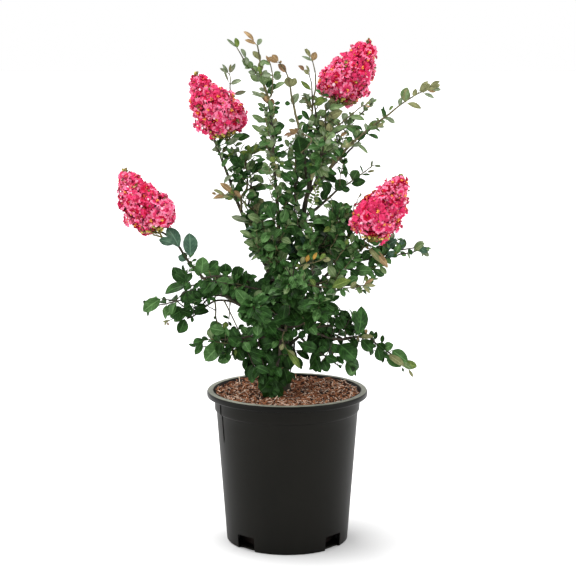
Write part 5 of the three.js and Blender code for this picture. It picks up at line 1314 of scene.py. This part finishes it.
# outline of a head: height above its lowest point, how far its middle lies to
# the outer side there, and half its width
HEAD = np.array([(0, 0, 4), (5, -3, 8), (10, -7, 16), (16, -13, 29), (21, -17, 38), (31, -15, 42), (41, -12, 45),
                 (52, -6, 46), (62, 0, 42), (73, 5, 36), (83, 12, 27), (93, 20.5, 21), (102, 23, 16), (107, 23, 9)], float)
HEAD_TOP = 107.0
# each head: its lowest point, which way it leans, and its size
HEADS = {
    "panicle_upper_left": ((-127.7, 44.0, 700.3), -1, 1.0),
    "panicle_left": ((-245.4, -34.0, 543.8), -1, 0.965),
    "panicle_upper_right": ((111.3, 50.0, 757.8), 1, 1.0),
    "panicle_right": ((161.1, -70.0, 536.8), 1, 0.968),
}


def panicle(name, seed):
    foot = np.array(PANICLES[name][0], float)
    low, lean, size_k = HEADS[name]
    low = np.array(low, float)

    def middle(h):
        c = float(np.interp(h, HEAD[:, 0], HEAD[:, 1]))
        return low + size_k * np.array([lean * c, 0.0, h])

    def width(h):
        return size_k * float(np.interp(h, HEAD[:, 0], HEAD[:, 2]))

    def skin(h, ang, inset):
        """Place and outward direction on the head's outline."""
        slope = (width(h + 3) - width(h - 3)) / (6 * size_k)
        flat = np.array([math.cos(ang), 0.92 * math.sin(ang), 0.0])
        shift = (middle(h + 3) - middle(h - 3)) / (6 * size_k)
        up = -slope - shift[0] * flat[0]
        return middle(h) + flat * max(0.5, width(h) - inset), unit(flat + np.array([0, 0, np.clip(up, -1.6, 1.6)]))

    # rachis, from the bough through the middle to the bud tip
    tip = low + size_k * np.array([lean * 29.0, 0.0, 107.0])
    line = spline([foot - unit(tip - foot) * 4, middle(26), middle(62) * 0.6 + (foot * 0.35 + tip * 0.65) * 0.4, tip], 16)
    tube(twig_soups_bloom, line, np.linspace(1.9, 0.8, 16), 6)

    def stalk_from(c, back):
        """A side stalk that leaves the rachis a little lower down."""
        k = int(np.argmin(np.abs(line[:, 2] - (c[2] - back))))
        return line[k]

    # florets, evenly spread over the head and turned outward
    hs = np.linspace(6, 102, 400)
    ring = np.array([width(h) for h in hs]) + 6
    share = np.cumsum(ring) / ring.sum()
    count = 138
    for i in range(count):
        h = float(np.interp((i + 0.5) / count, share, hs)) + rng.normal(0, 1.5)
        h = min(max(h, 6.0), 103.0)
        ang = i * 2.39996 + seed + rng.normal(0, 0.12)
        # the florets stand in domed groups, with hollows between them
        group = noise.noise(Vector((math.cos(ang) * 1.7 + seed, math.sin(ang) * 1.7, h * 0.055)))
        size = rng.uniform(10.2, 13.4) * (1 - 0.22 * max(0.0, h - 62) / 45)
        fine = noise.noise(Vector((math.cos(ang) * 3.4 + seed, math.sin(ang) * 3.4, h * 0.11 + 9)))
        place, out = skin(h, ang, 0.62 * size - 6.0 * group - 4.0 * fine + rng.uniform(-1.6, 2.6))
        # florets in the hollows get the deep colour and those on the domes the light one: painted shade in the hollows,
        # painted highlight on the domes
        k = 0.7 * rng.random() + 0.16 + 0.8 * group
        inner, outer = (("petal_deep_and_shade", "petal_pink") if k < 0.30 else ("petal_pink", "petal_pink") if k < 0.55
                        else ("petal_pink", "petal_light_and_highlight") if k < 0.86 else ("petal_deep_and_shade", "petal_light_and_highlight"))
        floret(place, unit(out + rng.normal(0, 0.30, 3)), size, inner, outer, rng.random() < 0.24)
        if i % 2 == 0:
            begin = stalk_from(place, 14)
            tube(twig_soups_bloom, spline([begin, (begin + place) / 2 - np.array([0, 0, 3.0]), place - out * size * 0.1], 5),
                 np.linspace(0.85, 0.5, 5), 4)
        if i % 6 == 0:
            # small buds in the gaps between the florets
            c = place + out * rng.uniform(0.5, 3.0) + rng.normal(0, 3.6, 3)
            ball(buds_olive if rng.random() < 0.5 else buds_yellow, c, rng.uniform(1.3, 2.1), out, 1.2)
        if i % 22 == 9:
            # a few of them together on one side stalk
            hub = place + out * rng.uniform(1.0, 3.0)
            tube(twig_soups_bloom, [stalk_from(place, 12), place - out * 6, hub], [0.9, 0.7, 0.6], 4)
            for _ in range(5):
                d = unit(out + rng.normal(0, 0.75, 3))
                c = hub + d * rng.uniform(2.6, 4.6)
                ball(pick([(buds_olive, 0.45), (buds_yellow, 0.3), (calyces, 0.25)]), c, rng.uniform(1.6, 2.4), d, 1.3)
                tube(twig_soups_bloom, [hub, c], [0.5, 0.4], 4)
    # a few florets stand out from the outline
    for c_, y_, h_ in ((23, -7, 21), (26, 6, 23), (-52, 0, 27), (-50, -12, 31), (33, 0, 88), (31, -10, 84)):
        place = low + size_k * np.array([lean * c_, y_, h_])
        out = unit(np.array([lean * np.sign(c_), 0.1 * y_, -0.15]))
        floret(place, out, rng.uniform(8.6, 10.2), "petal_pink", "petal_light_and_highlight" if y_ else "petal_pink", False)
        tube(twig_soups_bloom, spline([stalk_from(place, 10), place - out * 8 - np.array([0, 0, 3.0]), place], 5), np.linspace(0.85, 0.5, 5), 4)
    # florets deeper in, so that no sky shows through the head, all in the deep colour: painted shade inside the head
    for i in range(54):
        h = rng.uniform(8, 96)
        ang = rng.uniform(0, 6.28)
        place, out = skin(h, ang, 0)
        place = middle(h) + (place - middle(h)) * rng.uniform(0.15, 0.62)
        floret(place, unit(out + rng.normal(0, 0.4, 3)), rng.uniform(9, 11), "petal_deep_and_shade", "petal_deep_and_shade", False)
    # pale young calyces, just opening
    for i in range(13):
        place, out = skin(rng.uniform(14, 90) if i > 3 else rng.uniform(16, 40), rng.uniform(0, 6.28), 0.6)
        ball(buds_pale, place, rng.uniform(1.9, 2.7) if i > 3 else rng.uniform(2.7, 3.4), out, 1.1)
    # the bud cluster at the tip
    for i in range(19):
        out = unit(rng.normal(0, 1, 3))
        c = tip + out * np.array([3.8, 3.8, 5.2]) * rng.uniform(0.4, 1.0) + np.array([0, 0, 1.0])
        ball(buds_olive if i % 5 else buds_yellow, c, rng.uniform(1.6, 2.4), unit(out + np.array([0, 0, 0.6])), 1.25)
        tube(twig_soups_bloom, [line[-3], (line[-1] + c) / 2, c], [0.6, 0.5, 0.4], 4)
    # green-yellow buds and stalks round the foot of the head, most on the inner side
    for i in range(78):
        inner_side = i % 4 > 0
        h = rng.uniform(4, 16) if inner_side else rng.uniform(2, 8)
        side = rng.uniform(0.35, 1.0) if inner_side else rng.uniform(-0.2, 0.4)
        c = low + size_k * np.array([-lean * (38 * side), rng.uniform(-30, 30) * (1 - 0.4 * abs(side)), h + 6 * max(0.0, side - 0.6)])
        ball(buds_yellow if rng.random() < 0.6 else buds_olive, c, rng.uniform(1.6, 2.6), unit(rng.normal(0, 1, 3)), 1.2)
        tube(twig_soups_bloom, [stalk_from(c, 9), c], [0.6, 0.45], 4)


buds_pale = Soup()
twig_soups_bloom = Soup()
for k, name in enumerate(PANICLES):
    panicle(name, k * 1.9)


def petal_material(name, base, light):
    m = Mat(name, 0.6, 0.06)
    n = m.noise(200, 3)
    m.colour(m.ramp(n.outputs["Fac"], [(0.3, base), (0.55, [(x + y) / 2 for x, y in zip(base, light)]), (0.78, light)]).outputs["Color"])
    wr = m.noise(900, 3, 0.6)
    m.bump(wr.outputs["Fac"], 0.5, 0.0006)
    m.bsdf.inputs["Sheen Weight"].default_value = 0.06
    return m.m


def plain_material(name, a, b, rough=0.5, scale=300):
    m = Mat(name, rough, 0.4)
    n = m.noise(scale, 2)
    m.colour(m.ramp(n.outputs["Fac"], [(0.35, a), (0.65, b)]).outputs["Color"])
    m.bump(n.outputs["Fac"], 0.2, 0.0004)
    return m.m


# deep crimson that also serves as painted shade, mid pink, and pale pink that also serves as painted highlight
PETAL_MATS = {
    "petal_deep_and_shade": petal_material("petal_deep_and_shade", srgb("#b60530"), srgb("#cf1845")),
    "petal_pink": petal_material("petal_pink", srgb("#cd1a52"), srgb("#e04f7c")),
    "petal_light_and_highlight": petal_material("petal_light_and_highlight", srgb("#e2527d"), srgb("#f6a2c0")),
}
for name, s in petals.items():
    ob = s.build(name, PETAL_MATS[name], "blossom")
    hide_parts(*PANICLES)
    pieces.append((name, s.faces(), 0))
for name, s, mat in (("stamens", stamens, plain_material("stamens", srgb("#e8861f"), srgb("#ffc44e"))),
                     ("calyces", calyces, plain_material("calyces", srgb("#7a6a2c"), srgb("#a08a3c"))),
                     ("buds_olive", buds_olive, plain_material("buds_olive", srgb("#4c3a17"), srgb("#7c6a2a"), 0.45)),
                     ("buds_yellow", buds_yellow, plain_material("buds_yellow", srgb("#948c30"), srgb("#cdb85a"), 0.45)),
                     ("buds_pale", buds_pale, plain_material("buds_pale", srgb("#f0a3b8"), srgb("#ffd3de"), 0.45)),
                     ("bloom_stalks", twig_soups_bloom, plain_material("bloom_stalks", srgb("#5c5a26"), srgb("#8c7c3a"), 0.55))):
    ob = s.build(name, mat, "blossom")
    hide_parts(*PANICLES)
    pieces.append((name, s.faces(), 0))

# ---- pot -----------------------------------------------------------------------------
POT = dict(height=265.0, base=106.4, top=123.8, collar=126.7, rim=140.0, wall=2.0, step=232.5, lip=255.5)
SEAMS = (206.0, 26.0)               # the two halves of the mould meet here, degrees round


def arc(cx, cz, r, a0, a1, n):
    return [(cx + r * math.cos(math.radians(a0 + (a1 - a0) * i / n)), cz + r * math.sin(math.radians(a0 + (a1 - a0) * i / n)))
            for i in range(n + 1)]


def round_angles(sides):
    """Even steps round the pot, with finer ones across each seam."""
    step = 360.0 / sides
    out = []
    for k in range(sides):
        if all(abs((k * step - m + 180) % 360 - 180) > 1.9 for m in SEAMS):
            out.append(k * step)
    for m in SEAMS:
        out += [m - 1.8, m - 1.25, m - 1.1, m, m + 1.1, m + 1.25, m + 1.8]
    return sorted(out)


def seam_depth(angle, z):
    """How far the wall is pressed in along the mould's seams."""
    near = min(abs((angle - m + 180) % 360 - 180) for m in SEAMS)
    if near > 1.15 or z > 254.5:
        return 0.0
    return 1.7 * min(1.0, max(0.0, (z - 182) / 8))


def lathe(profile, sides, name, seams_to=0):
    """Turned shell; the first seams_to rows of the profile carry the seams."""
    bm = bmesh.new()
    angles = round_angles(sides)
    n = len(angles)
    rings = []
    for i, (r, z) in enumerate(profile):
        if r < 1e-6:
            rings.append([bm.verts.new((0, 0, z * MM))])
            continue
        ring = []
        for g in angles:
            rr = r - (seam_depth(g, z) if i < seams_to else 0.0)
            ring.append(bm.verts.new((rr * MM * math.cos(math.radians(g)), rr * MM * math.sin(math.radians(g)), z * MM)))
        rings.append(ring)
    for a, b in zip(rings, rings[1:]):
        for k in range(n):
            k2 = (k + 1) % n
            if len(a) == 1:
                bm.faces.new((a[0], b[k2], b[k]))
            elif len(b) == 1:
                bm.faces.new((a[k], a[k2], b[0]))
            else:
                bm.faces.new((a[k], a[k2], b[k2], b[k]))
    bmesh.ops.recalc_face_normals(bm, faces=bm.faces)
    me = bpy.data.meshes.new(name)
    bm.to_mesh(me)
    bm.free()
    return me


step_z, lip_z, top_z = POT["step"], POT["lip"], POT["height"] + 1.4
outer = [(0, 0.0), (60, 0.0), (98, 0.0)]
outer += arc(POT["base"] - 1.5, 1.6, 1.6, -85, -5, 5)
for z in sorted(list(np.linspace(8, step_z - 3, 16)) + [181.0, 184.0, 187.0, 190.5]):
    outer.append((POT["base"] + (POT["top"] - POT["base"]) * z / step_z, z))
outer += [(POT["top"] + 0.2, step_z - 1.9), (POT["top"] + 0.9, step_z - 1.1), (POT["collar"] - 1.0, step_z - 0.5),
          (POT["collar"] - 0.4, step_z + 0.4), (POT["collar"] - 0.2, step_z + 4), (POT["collar"], step_z + 12),
          (POT["collar"] + 0.3, lip_z - 2.5)]
seam_rows = len(outer)
outer += [(POT["collar"] + 0.9, lip_z - 0.7), (POT["collar"] + 2.4, lip_z - 0.1), (133, lip_z), (137.0, lip_z + 0.1),
          (138.8, lip_z + 0.6), (139.7, lip_z + 1.5), (POT["rim"], lip_z + 2.6)]
# the lip is rolled over, down from a narrow flat
outer += [(137.0 + 3.0 * math.cos(t), 261.0 + 5.4 * math.sin(t)) for t in np.linspace(0, math.pi / 2, 11)]
outer += [(131.8, top_z)]
outer += arc(POT["rim"] - 11 + 1.4, top_z - 1.4, 1.4, 90, 180, 5)
outer += [(128.2, 262.4), (126.2, 260.4), (125.1, 257.2), (124.7, 254.0), (124.7, step_z + 2), (121.6, step_z - 3)]
for z in np.linspace(step_z - 25, 6, 6):
    outer.append((POT["base"] + (POT["top"] - POT["base"]) * z / step_z - POT["wall"], z))
outer += [(102, 2.6), (60, 2.4), (0, 2.4)]
pot_me = lathe(outer, 160, "pot_shell", seam_rows)
pot = bpy.data.objects.new("pot_shell", pot_me)
bpy.context.scene.collection.objects.link(pot)
# notches at the bottom edge, with rounded upper corners
cutters = []
for ang in (-42, 48, 138, 228):
    bm = bmesh.new()
    w, h, rc = 19.0, 25.0, 3.5
    outline = [(-w, -6), (w, -6)] + [(w - rc + rc * math.cos(t), h - rc + rc * math.sin(t)) for t in np.linspace(0, math.pi / 2, 6)] \
        + [(-w + rc - rc * math.sin(t), h - rc + rc * math.cos(t)) for t in np.linspace(0, math.pi / 2, 6)]
    near = [bm.verts.new((x * MM, -0.118, z * MM)) for x, z in outline]
    far = [bm.verts.new((x * MM, -0.099, z * MM)) for x, z in outline]
    bm.faces.new(near)
    bm.faces.new(far[::-1])
    for k in range(len(outline)):
        k2 = (k + 1) % len(outline)
        bm.faces.new((near[k2], near[k], far[k], far[k2]))
    bmesh.ops.recalc_face_normals(bm, faces=bm.faces)
    me = bpy.data.meshes.new("cutter")
    bm.to_mesh(me)
    bm.free()
    c = bpy.data.objects.new("cutter", me)
    bpy.context.scene.collection.objects.link(c)
    c.rotation_euler = (0, 0, math.radians(ang))
    cutters.append(c)
for c in cutters:
    md = pot.modifiers.new("cut", "BOOLEAN")
    md.operation, md.solver, md.object = "DIFFERENCE", "EXACT", c
bpy.context.view_layer.update()
done = bpy.data.meshes.new_from_object(pot.evaluated_get(bpy.context.evaluated_depsgraph_get()))
pot.modifiers.clear()
pot.data = done
pot.data.name = "pot_shell"
for c in cutters:
    bpy.data.objects.remove(c)
for p in pot.data.polygons:
    p.use_smooth = True
pot.data.set_sharp_from_angle(angle=math.radians(32))


def pot_material():
    m = Mat("pot_plastic", 0.46, 0.12)
    m.bsdf.inputs["Specular Tint"].default_value = (1.0, 0.985, 0.90, 1)
    cloud = m.noise(9, 4)
    streak = m.noise(22, 4, 0.6, stretch=(1.0, 1.0, 0.18))
    mixn = m.node("ShaderNodeMix", data_type="RGBA")
    mixn.inputs["Factor"].default_value = 0.5
    ra = m.ramp(cloud.outputs["Fac"], [(0.3, srgb("#060605")), (0.7, srgb("#0d0c0a"))])
    rb = m.ramp(streak.outputs["Fac"], [(0.3, srgb("#050504")), (0.7, srgb("#0f0e0b"))])
    m.link(ra.outputs["Color"], mixn.inputs["A"])
    m.link(rb.outputs["Color"], mixn.inputs["B"])
    # the flat top of the lip is painted light grey: partly scuffs and dust, partly a painted reflection of the bright
    # sky on the glossy top
    xyz = m.node("ShaderNodeSeparateXYZ")
    m.link(m.tc.outputs["Object"], xyz.inputs["Vector"])
    high = m.node("ShaderNodeMapRange")
    high.inputs["From Min"].default_value = 0.2654
    high.inputs["From Max"].default_value = 0.2660
    m.link(xyz.outputs["Z"], high.inputs["Value"])
    scuff = m.noise(60, 4, 0.65)
    dust_and_sky_sheen = m.node("ShaderNodeMix", data_type="RGBA")
    m.link(m.calc("MULTIPLY", high.outputs["Result"], m.calc("ADD", 0.35, m.calc("MULTIPLY", scuff.outputs["Fac"], 1.1))), dust_and_sky_sheen.inputs["Factor"])
    m.link(mixn.outputs["Result"], dust_and_sky_sheen.inputs["A"])
    dust_and_sky_sheen.inputs["B"].default_value = (*srgb("#7b7c70"), 1)
    # the lip's roll is smoother, and painted darker than the body: painted shade on the roll's outer face and underside
    band = m.calc("MULTIPLY", m.calc("GREATER_THAN", xyz.outputs["Z"], 0.2556), m.calc("LESS_THAN", xyz.outputs["Z"], 0.2657))
    face = m.node("ShaderNodeMix", data_type="RGBA")
    m.link(band, face.inputs["Factor"])
    m.link(dust_and_sky_sheen.outputs["Result"], face.inputs["A"])
    face.inputs["B"].default_value = (*srgb("#040404"), 1)
    m.colour(face.outputs["Result"])
    m.roughness(m.calc("SUBTRACT", streak.outputs["Fac"], m.calc("MULTIPLY", band, 0.8)), 0.38, 0.55)
    grain = m.noise(700, 3)
    m.bump(grain.outputs["Fac"], 0.12, 0.0004)
    return m.m


pot.data.materials.clear()
pot.data.materials.append(pot_material())
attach(pot, "root")
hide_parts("pot")

# ---- soil and bark mulch -----------------------------------------------------------------


def ground(x, y):
    """Height of the mulch's surface."""
    r = math.hypot(x, y)
    z = SOIL_TOP - 1.6 + 1.3 * noise.noise(Vector((x * 0.02, y * 0.02, 1.0))) + 1.1 * noise.noise(Vector((x * 0.08, y * 0.08, 7.0)))
    z += 2.8 * max(0.0, (r - 95) / 32) ** 2
    z += 3.6 * math.exp(-(math.hypot(x + 5, y - 5) / 24) ** 2)
    return z


soil = Soup()
rings, sides = 34, 96
sv = [(0, 0, ground(0, 0))]
for i in range(1, rings + 1):
    r = 125.6 * i / rings
    for k in range(sides):
        a = 2 * math.pi * k / sides
        x, y = r * math.cos(a), r * math.sin(a)
        sv.append((x, y, ground(x, y) - 1.0))
body = [(123.0, 252), (122.6, 237), (119.5, 226), (116.6, 200), (109.5, 100), (104.5, 40), (88.0, 30), (86.0, 4.5)]
for r, z in body:
    for k in range(sides):
        a = 2 * math.pi * k / sides
        rr = r - 0.6 + 0.8 * noise.noise(Vector((math.cos(a) * 6, math.sin(a) * 6, z * 0.05)))
        sv.append((rr * math.cos(a), rr * math.sin(a), z))
sv.append((0, 0, 4.5))
sq, stt = [], []
for i in range(rings + len(body) - 1):
    for k in range(sides):
        o, k2 = 1 + i * sides, (k + 1) % sides
        sq.append((o + k, o + k2, o + sides + k2, o + sides + k)[::-1])
for k in range(sides):
    k2 = (k + 1) % sides
    stt.append((0, 1 + k, 1 + k2))
    o = 1 + (rings + len(body) - 1) * sides
    stt.append((len(sv) - 1, o + k2, o + k))
soil.add(np.array(sv), np.array(sq), np.array(stt))

chips = {"chips_red": Soup(), "chips_dark": Soup(), "chips_tan": Soup()}
BOXQ = [[0, 1, 3, 2], [4, 6, 7, 5], [0, 4, 5, 1], [2, 3, 7, 6], [0, 2, 6, 4], [1, 5, 7, 3]]
for i in range(3400):
    rr = 125.6 * math.sqrt(rng.random())
    a = rng.uniform(0, 6.28)
    x, y = rr * math.cos(a), rr * math.sin(a)
    if math.hypot(x + 5, y - 5) < 12.5:
        continue
    kind = "chips_red" if i % 20 < 11 else "chips_dark" if i % 20 < 16 else "chips_tan"
    big = rng.random()
    ln = rng.uniform(4.5, 9.5) if big < 0.88 else rng.uniform(9.5, 16)
    w = rng.uniform(1.5, 3.9)
    h = rng.uniform(0.7, 2.0)
    if kind == "chips_tan":
        ln, w, h = ln * 1.25, w * 0.55, h * 0.8
    z = ground(x, y) + rng.uniform(-1.3, 1.9) + (0.5 if kind == "chips_tan" else 0.0)
    m = (Matrix.Rotation(rng.uniform(0, 6.28), 3, "Z") @ Matrix.Rotation(rng.normal(0, 0.38), 3, "Y") @ Matrix.Rotation(rng.normal(0, 0.5), 3, "X"))
    box = []
    for sx in (-1, 1):
        for sy in (-1, 1):
            for sz in (-1, 1):
                taper = rng.uniform(0.35, 1.0)
                box.append(m @ Vector((sx * ln / 2 * rng.uniform(0.8, 1.1), sy * w / 2 * taper, sz * h / 2 * taper)))
    v = np.array([[p.x + x, p.y + y, p.z + z] for p in box])
    rmax = np.hypot(v[:, 0], v[:, 1])
    if rmax.max() > 126.9:
        continue
    chips[kind].add(v, BOXQ)


def mulch_material(name, a, b, rough=0.88):
    m = Mat(name, rough, 0.25)
    n = m.noise(180, 4, 0.65)
    m.colour(m.ramp(n.outputs["Fac"], [(0.3, a), (0.7, b)]).outputs["Color"])
    f = m.noise(900, 3)
    m.bump(f.outputs["Fac"], 0.6, 0.0008)
    return m.m


ob = soil.build("soil_body", mulch_material("soil_body", srgb("#0b0603"), srgb("#1e1009")), "bark_mulch")
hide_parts("soil")
for name, a, b in (("chips_red", "#70422a", "#ab7452"), ("chips_dark", "#1a0d06", "#452616"), ("chips_tan", "#c0967a", "#f4dfcc")):
    ob = chips[name].build(name, mulch_material(name, srgb(a), srgb(b)), "bark_mulch", smooth=False)
    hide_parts("soil")
    pieces.append((name, chips[name].faces(), 0))

# ---- floor, light and camera ------------------------------------------------------------------
scene = bpy.context.scene
scene.view_settings.view_transform = "Standard"
scene.view_settings.look = "None"

floor_me = bpy.data.meshes.new("floor")
bm = bmesh.new()
for x, y in ((-60, -20), (60, -20), (60, 160), (-60, 160)):
    bm.verts.new((x, y, -0.0004))
bm.faces.new(bm.verts)
bm.to_mesh(floor_me)
bm.free()
floor = bpy.data.objects.new("floor", floor_me)
scene.collection.objects.link(floor)
fm = Mat("floor_paper", 0.9, 0.1)
fn = fm.noise(3, 2)
fm.colour(fm.ramp(fn.outputs["Fac"], [(0.3, (0.74, 0.74, 0.74)), (0.7, (0.75, 0.75, 0.75))]).outputs["Color"])
floor.data.materials.append(fm.m)

world = bpy.data.worlds.new("studio")
scene.world = world
world.use_nodes = True
world.node_tree.nodes["Background"].inputs["Color"].default_value = (1, 1, 1, 1)
# the studio is lit all round, with less light from the side of the viewer
wt = world.node_tree
w_dir = wt.nodes.new("ShaderNodeTexCoord")
w_xyz = wt.nodes.new("ShaderNodeSeparateXYZ")
w_map = wt.nodes.new("ShaderNodeMapRange")
for k, v in (("From Min", -0.95), ("From Max", -0.3), ("To Min", 0.58), ("To Max", 1.0)):
    w_map.inputs[k].default_value = v
wt.links.new(w_dir.outputs["Generated"], w_xyz.inputs["Vector"])
wt.links.new(w_xyz.outputs["Y"], w_map.inputs["Value"])
wt.links.new(w_map.outputs["Result"], wt.nodes["Background"].inputs["Strength"])


# a large soft light from above, and a weaker one at each side
for name, energy, wide, towards in (("key", 2.75, 28, (-0.14, 0.12, 1.0)), ("side_left", 1.5, 70, (-1.0, -0.45, 0.45)),
                                    ("side_right", 1.5, 70, (1.0, -0.45, 0.45))):
    sun = bpy.data.lights.new(name, "SUN")
    sun.energy = energy
    sun.angle = math.radians(wide)
    lamp = bpy.data.objects.new(name, sun)
    lamp.rotation_mode = "QUATERNION"
    lamp.rotation_quaternion = (-Vector(towards)).to_track_quat("-Z", "Y")
    scene.collection.objects.link(lamp)

cam_data = bpy.data.cameras.new("camera")
cam = bpy.data.objects.new("camera", cam_data)
cam_data.sensor_width = 36.0
cam_data.lens = CAM_F / 576 * 36.0
cam_data.clip_end = 400
cam.location = CAM_POS * MM
cam.rotation_euler = (math.pi / 2 - CAM_PITCH, 0, 0)
scene.collection.objects.link(cam)
scene.camera = cam

print("PIECES", pieces, "TOTAL", sum(p[1] for p in pieces), "LEAVES", sum(p[2] for p in pieces))
